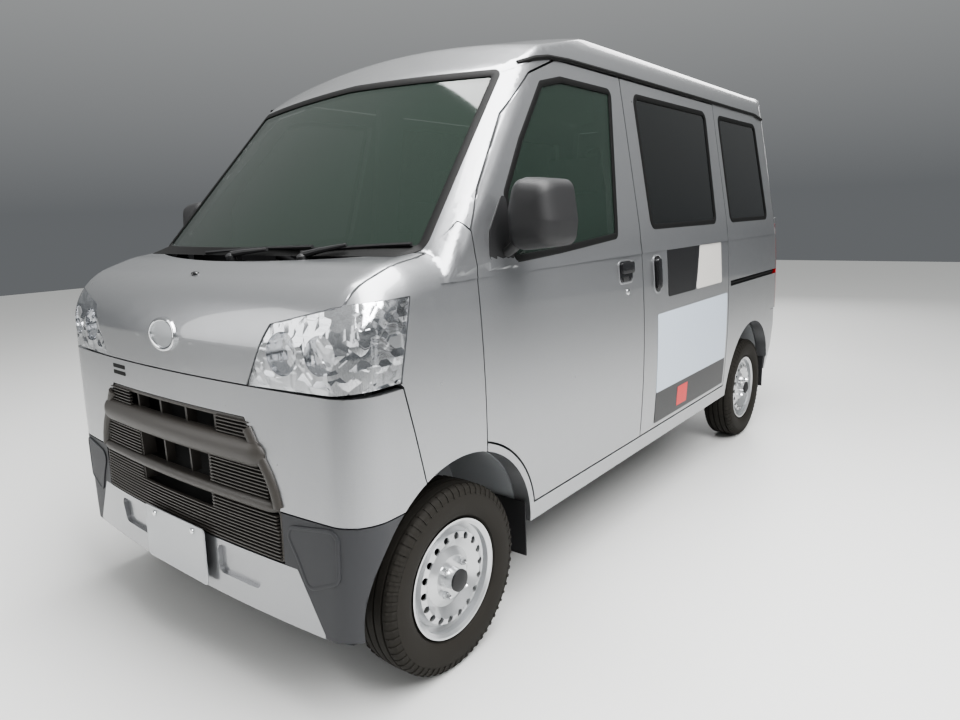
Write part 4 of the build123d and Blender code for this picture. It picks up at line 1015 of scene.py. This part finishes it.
# Wheels: tyres with grooves and shoulder lugs, chrome nuts and a black cap on each steel rim
wheel = {
    "centres": {"front_left": (652.5, 0), "front_right": (-652.5, 0), "rear_left": (650, 2450),
                "rear_right": (-650, 2450)},
    "height": 265.0, "steps": 96, "lugs": 64, "sharp": 28,
    # across, radius: one half of the tyre, from the bead up the wall to the crown, with its grooves
    "wall": [(50, 157.5), (50, 169), (54, 173), (61, 176), (66.5, 184), (70.5, 196), (72.3, 210), (72, 224),
             (70, 236), (68.4, 238), (68.4, 241), (66, 248), (61.5, 255), (56, 259.5), (49, 261.8),
             (44.5, 262.3), (44, 255.5), (38.5, 255.5), (38, 262.8), (28, 263.9), (17.5, 264.5), (17, 257),
             (11.5, 257), (11, 264.8), (5, 265)],
    # across, half width, radius down one shoulder lug, its outer face first
    "lug": [(72.2, 3.4, 236), (67.5, 3.6, 252), (56, 3.8, 262.2), (46, 3.9, 263.4), (50, 3.9, 250)],
    "nuts": 4, "nutCircle": 50.0, "nutAcross": 10.5, "nutSeat": 45.0,
    "nutRise": [(0, 1.0), (13, 1.0), (17, 0.8), (22, 0.62), (26, 0.3)],
    "capAt": 70, "capRadius": 31, "capThick": 8, "capDome": 7,
}
tyreProfile = wheel["wall"] + [(-u, r) for u, r in reversed(wheel["wall"])]


def shoulderLug(side):
    points = []
    for across, half, radius in wheel["lug"]:
        points += [(side * across, -half, radius), (side * across, half, radius)]
    around = [(k, k + 1, (k + 3) % 10, (k + 2) % 10) for k in range(0, 10, 2)]
    return points, around + [(0, 2, 4, 6, 8), (1, 9, 7, 5, 3)]


def wheelNut(across):
    hexagon = [(math.cos(math.pi * k / 3), math.sin(math.pi * k / 3)) for k in range(6)]
    diagonal = wheel["nutCircle"] * math.cos(math.pi / 4)
    loops = []
    for up, size in wheel["nutRise"]:
        half = wheel["nutAcross"] * size
        x = across * (wheel["nutSeat"] + up)
        loops.append([(x, diagonal + p[0] * half, diagonal + p[1] * half) for p in hexagon])
    return skinLoops(loops)


lugTurn = (2 * math.pi / wheel["lugs"], 0, 0)
nutTurn = (2 * math.pi / wheel["nuts"], 0, 0)
bothLugs = joined([shoulderLug(1), shoulderLug(-1)])
lugs = repeated(bothLugs, wheel["lugs"], turnEach=lugTurn, material=tyreRubber)
for name, (x, a) in wheel["centres"].items():
    across = 1 if x > 0 else -1
    centre = (x, a, wheel["height"])
    body = f"wheel_{name}"
    tyre = joined([lathe(tyreProfile, (0, 0, 0), wheel["steps"]), lugs])
    addPiece(f"tyre_{name}_tread", moved(tyre, centre), tyreRubber, body, wheel["sharp"],
             standsFor=(f"tyre_{name}",))
    nuts = repeated(wheelNut(across), wheel["nuts"], turnEach=nutTurn, material=chrome)
    addPiece(f"nuts_{name}", moved(nuts, centre), chrome, body)
    capAt = (x + across * wheel["capAt"], a, wheel["height"])
    cap = disc(capAt, (across, 0, 0), wheel["capRadius"], wheel["capThick"], 32, dome=wheel["capDome"])
    addPiece(f"cap_{name}", cap, blackPlastic, body)
print("wheels made")

# Tail lamps: bands of colour on the red bodies, and the gate's grip
tailLamp = {"inner": 640, "outer": 704, "amber": (930, 1010), "white": (850, 924), "corner": 5,
            "levels": (-1, 1.2)}
for key, material in (("amber", amberLens), ("white", whiteLens)):
    low, high = tailLamp[key]
    inner, outer = tailLamp["inner"], tailLamp["outer"]
    outline = rounded([(inner, low), (outer, low), (outer, high), (inner, high)], tailLamp["corner"], 12)
    bands = pair(plateOn(outline, "back", *tailLamp["levels"]))
    addPiece(f"tail_{key}", bands, material)
gateGrip = {"outline": [(-150, 742), (150, 742), (150, 792), (-150, 792)], "corner": 12, "levels": (-2, 14)}
gripShape = plateOn(rounded(gateGrip["outline"], gateGrip["corner"]), "back", *gateGrip["levels"])
addPiece("gate_grip", gripShape, blackPlastic, "tailgate_door", bevel=3)
print("rear details made")

# Seats: crowned cushions whose sides pull in, with sewn channels
pad = {"cells": 28, "seamDepth": 5, "seamSharp": 60, "pull": 0.035, "fill": 0.9}


def cushion(x0, x1, a0, a1, z0, z1, crown=12.0, channels=3):
    count = pad["cells"]

    def swell(u, w):
        high = (1 - abs(2 * u - 1) ** 4) * (1 - abs(2 * w - 1) ** 4)
        away = [(u - k / (channels + 1)) * pad["seamSharp"] for k in range(1, channels + 1)]
        seams = sum(math.exp(-d ** 2) for d in away)
        return (crown - pad["seamDepth"] * seams) * high

    points = []
    for upper in (False, True):
        for j in range(count + 1):
            for i in range(count + 1):
                su, sw = 2 * i / count - 1, 2 * j / count - 1
                pull = 1 - pad["pull"] * (abs(su) ** 8 * (1 - sw * sw) + abs(sw) ** 8 * (1 - su * su))
                x = (x0 + x1) / 2 + su * (x1 - x0) / 2 * pull
                a = (a0 + a1) / 2 + sw * (a1 - a0) / 2 * pull
                points.append((x, a, z1 + swell(i / count, j / count) - crown if upper else z0))
    row = count + 1
    top = row * row
    faces = []
    for j in range(count):
        for i in range(count):
            k = j * row + i
            faces.append((top + k, top + k + 1, top + k + row + 1, top + k + row))
            faces.append((k, k + row, k + row + 1, k + 1))
    rim = list(range(row)) + [(j + 1) * row - 1 for j in range(1, row)]
    rim += [count * row + i for i in range(count - 1, -1, -1)] + [j * row for j in range(count - 1, 0, -1)]
    for a, b in zip(rim, rim[1:] + rim[:1]):
        faces.append((a, b, top + b, top + a))
    return points, faces


def stoodUp(shape, aft, foot, thick, degrees, pivot):
    # backs are drawn lying down, then stood up and leant
    c, s = math.cos(math.radians(degrees)), math.sin(math.radians(degrees))
    points = []
    for x, up, face in shape[0]:
        a, z = aft + thick - face - pivot[0], foot + up - pivot[1]
        points.append((x, pivot[0] + a * c - z * s, pivot[1] + a * s + z * c))
    return points, shape[1]


seat = {
    "middles": {"right": -330, "left": 330}, "half": 223, "base": (642, 1106, 714, 822), "lean": -12,
    "pivot": (1112, 772), "back": (0, 556, 2, 98), "backAt": (1112, 774), "rest": (0, 146, 2, 68),
    "restHalf": 122, "restAt": (1132, 1332), "crown": 10, "edge": 0.02,
}
bench = {
    "half": 558, "base": (1642, 2058, 786, 864), "back": (0, 416, 2, 78), "backAt": (2061, 816), "lean": -10,
    "pivot": (2061, 815), "crown": 8, "legs": (-500, 470), "legWidth": 30, "legBox": (1660, 1990, 600, 785),
}


def addPad(name, shape, standsFor=(), edge=0):
    obj = addPiece(name, shape, seatCloth, sharp=50, standsFor=standsFor)
    if edge:
        softEdge = obj.modifiers.new("soft edges", "BEVEL")
        softEdge.width = edge
        softEdge.segments = 4
        softEdge.limit_method = "ANGLE"


for hand, middle in seat["middles"].items():
    left, right = middle - seat["half"], middle + seat["half"]
    back = cushion(left, right, *seat["back"], crown=seat["crown"])
    restEnds = (middle - seat["restHalf"], middle + seat["restHalf"])
    rest = cushion(*restEnds, *seat["rest"], crown=seat["crown"], channels=0)
    shapes = {
        "seat": cushion(left, right, *seat["base"]),
        "back": stoodUp(back, *seat["backAt"], seat["back"][3], seat["lean"], seat["pivot"]),
        "headrest": stoodUp(rest, *seat["restAt"], seat["rest"][3], seat["lean"], seat["pivot"]),
    }
    for key, shape in shapes.items():
        replaced = ("seats",) if (key, hand) == ("seat", "right") else ()
        addPad(f"{key}_{hand}", shape, replaced, seat["edge"])
benchBack = cushion(-bench["half"], bench["half"], *bench["back"], crown=bench["crown"])
benchBack = stoodUp(benchBack, *bench["backAt"], bench["back"][3], bench["lean"], bench["pivot"])
addPad("bench_seat", cushion(-bench["half"], bench["half"], *bench["base"], crown=bench["crown"]))
addPad("bench_back", benchBack)
legs = [brick(x, x + bench["legWidth"], *bench["legBox"]) for x in bench["legs"]]
addPiece("bench_legs", joined(legs), underBlack)

steer = {
    "centre": (-330, 330, 1010), "tilt": 48.0, "radius": 185.0, "grip": 13.5, "steps": 64,
    "spokeTurns": (0, math.pi, math.pi * 1.5), "spokeAt": (30, 80, 130, 180), "spokeRadii": [17, 15, 13, 11],
    "spokeFlat": 0.5, "spokeDrop": -8, "spokeRise": 6, "hubAt": -28, "hubRadius": 56, "hubThick": 44,
    "hubDome": 8, "shaft": (-108, -20), "shaftRadius": 12,
}
tilt = math.radians(steer["tilt"])
columnLine = Vector((0, math.cos(tilt), math.sin(tilt)))
sideways = Vector((1, 0, 0))
acrossWheel = columnLine.cross(sideways)


def onWheel(turn, radius, lift=0.0):
    x, y = radius * math.cos(turn), radius * math.sin(turn)
    return tuple(Vector(steer["centre"]) + sideways * x + acrossWheel * y + columnLine * lift)


def wheelSpoke(turn):
    lifts = [steer["spokeDrop"] + steer["spokeRise"] * (r / steer["radius"]) ** 2 for r in steer["spokeAt"]]
    line = [onWheel(turn, r, lift) for r, lift in zip(steer["spokeAt"], lifts)]
    return tube(line, steer["spokeRadii"], 12, flat=steer["spokeFlat"])


grip = [onWheel(2 * math.pi * k / steer["steps"], steer["radius"]) for k in range(steer["steps"])]
hubAt = onWheel(0, 0, steer["hubAt"])
steerShapes = [
    tube(grip, steer["grip"], 12, closed=True),
    disc(hubAt, columnLine, steer["hubRadius"], steer["hubThick"], 32, dome=steer["hubDome"]),
    tube([onWheel(0, 0, lift) for lift in steer["shaft"]], steer["shaftRadius"], 16),
] + [wheelSpoke(turn) for turn in steer["spokeTurns"]]
addPiece("steering_ring", joined(steerShapes), darkTrim, "steering", standsFor=("steering_wheel",))
print("cab made")

# Floor, light and camera
stage = {"half": 14.0, "colour": (0.74, 0.74, 0.73), "rough": 0.45}
bpy.ops.mesh.primitive_plane_add(size=2 * stage["half"], location=(0, 0, 0))
floor = bpy.context.object
floor.name = "floor"
floor.data.materials.append(newMaterial("pale floor", stage["colour"], rough=stage["rough"]))

# the studio's walls are dark at the horizon and pale overhead
sky = {"low": (0.22, 0.23, 0.24, 1), "lowAt": 0.02, "high": (0.95, 0.96, 0.95, 1), "highAt": 0.75,
       "strength": 0.5}
world = bpy.data.worlds.new("studio")
scene.world = world
world.use_nodes = True
skyTree = world.node_tree
skyCoords = skyTree.nodes.new("ShaderNodeTexCoord")
skyHeight = skyTree.nodes.new("ShaderNodeSeparateXYZ")
skyRamp = skyTree.nodes.new("ShaderNodeValToRGB")
lowStop, highStop = skyRamp.color_ramp.elements
lowStop.position, lowStop.color = sky["lowAt"], sky["low"]
highStop.position, highStop.color = sky["highAt"], sky["high"]
skyTree.links.new(skyCoords.outputs["Generated"], skyHeight.inputs["Vector"])
skyTree.links.new(skyHeight.outputs["Z"], skyRamp.inputs["Fac"])
skyTree.links.new(skyRamp.outputs["Color"], skyTree.nodes["Background"].inputs["Color"])
skyTree.nodes["Background"].inputs["Strength"].default_value = sky["strength"]

lamps = [
    # name, size across, size along, place, aim, power
    ("over", 2.2, 7.0, (1.4, -0.8, 4.4), (0.2, -0.4, 0.8), 460),
    ("frontSide", 2.5, 3.5, (4.2, -5.0, 3.2), (0, -0.8, 0.8), 26),
    ("side", 1.2, 6.0, (5.5, 1.5, 3.0), (0, 0.2, 0.9), 8),
    ("farSide", 2.5, 4.0, (-3.5, -5.0, 2.6), (0, -1.2, 0.8), 60),
    ("back", 2.5, 4.0, (-1.0, 6.0, 3.5), (0, 0, 1.0), 80),
]
for name, across, along, at, aim, power in lamps:
    data = bpy.data.lights.new(name, "AREA")
    data.shape = "RECTANGLE"
    data.size = across
    data.size_y = along
    data.energy = power
    lamp = bpy.data.objects.new(name, data)
    scene.collection.objects.link(lamp)
    lamp.location = at
    lamp.rotation_mode = "QUATERNION"
    lamp.rotation_quaternion = (Vector(aim) - Vector(at)).to_track_quat("-Z", "Y")

view = {"at": (1.8429, -2.5792, 1.2361), "azimuth": 38.588, "elevation": 11.971, "roll": -2.032,
        "lens": 25.559, "sensor": 36, "nearest": 0.05, "furthest": 100, "exposure": 0.3}
az, el, roll = (math.radians(view[k]) for k in ("azimuth", "elevation", "roll"))
forward = Vector((-math.sin(az) * math.cos(el), math.cos(az) * math.cos(el), -math.sin(el)))
right = forward.cross(Vector((0, 0, 1))).normalized()
up = right.cross(forward)
rightTurned = math.cos(roll) * right + math.sin(roll) * up
upTurned = -math.sin(roll) * right + math.cos(roll) * up
turn = Matrix((rightTurned, upTurned, -forward)).transposed().to_4x4()
cameraData = bpy.data.cameras.new("camera")
cameraData.lens = view["lens"]
cameraData.sensor_width = view["sensor"]
cameraData.clip_start = view["nearest"]
cameraData.clip_end = view["furthest"]
camera = bpy.data.objects.new("camera", cameraData)
scene.collection.objects.link(camera)
camera.matrix_world = Matrix.Translation(view["at"]) @ turn
scene.camera = camera
scene.view_settings.view_transform = "AgX"
scene.view_settings.look = "AgX - Medium High Contrast"
scene.view_settings.exposure = view["exposure"]
print("stage, light and camera set")
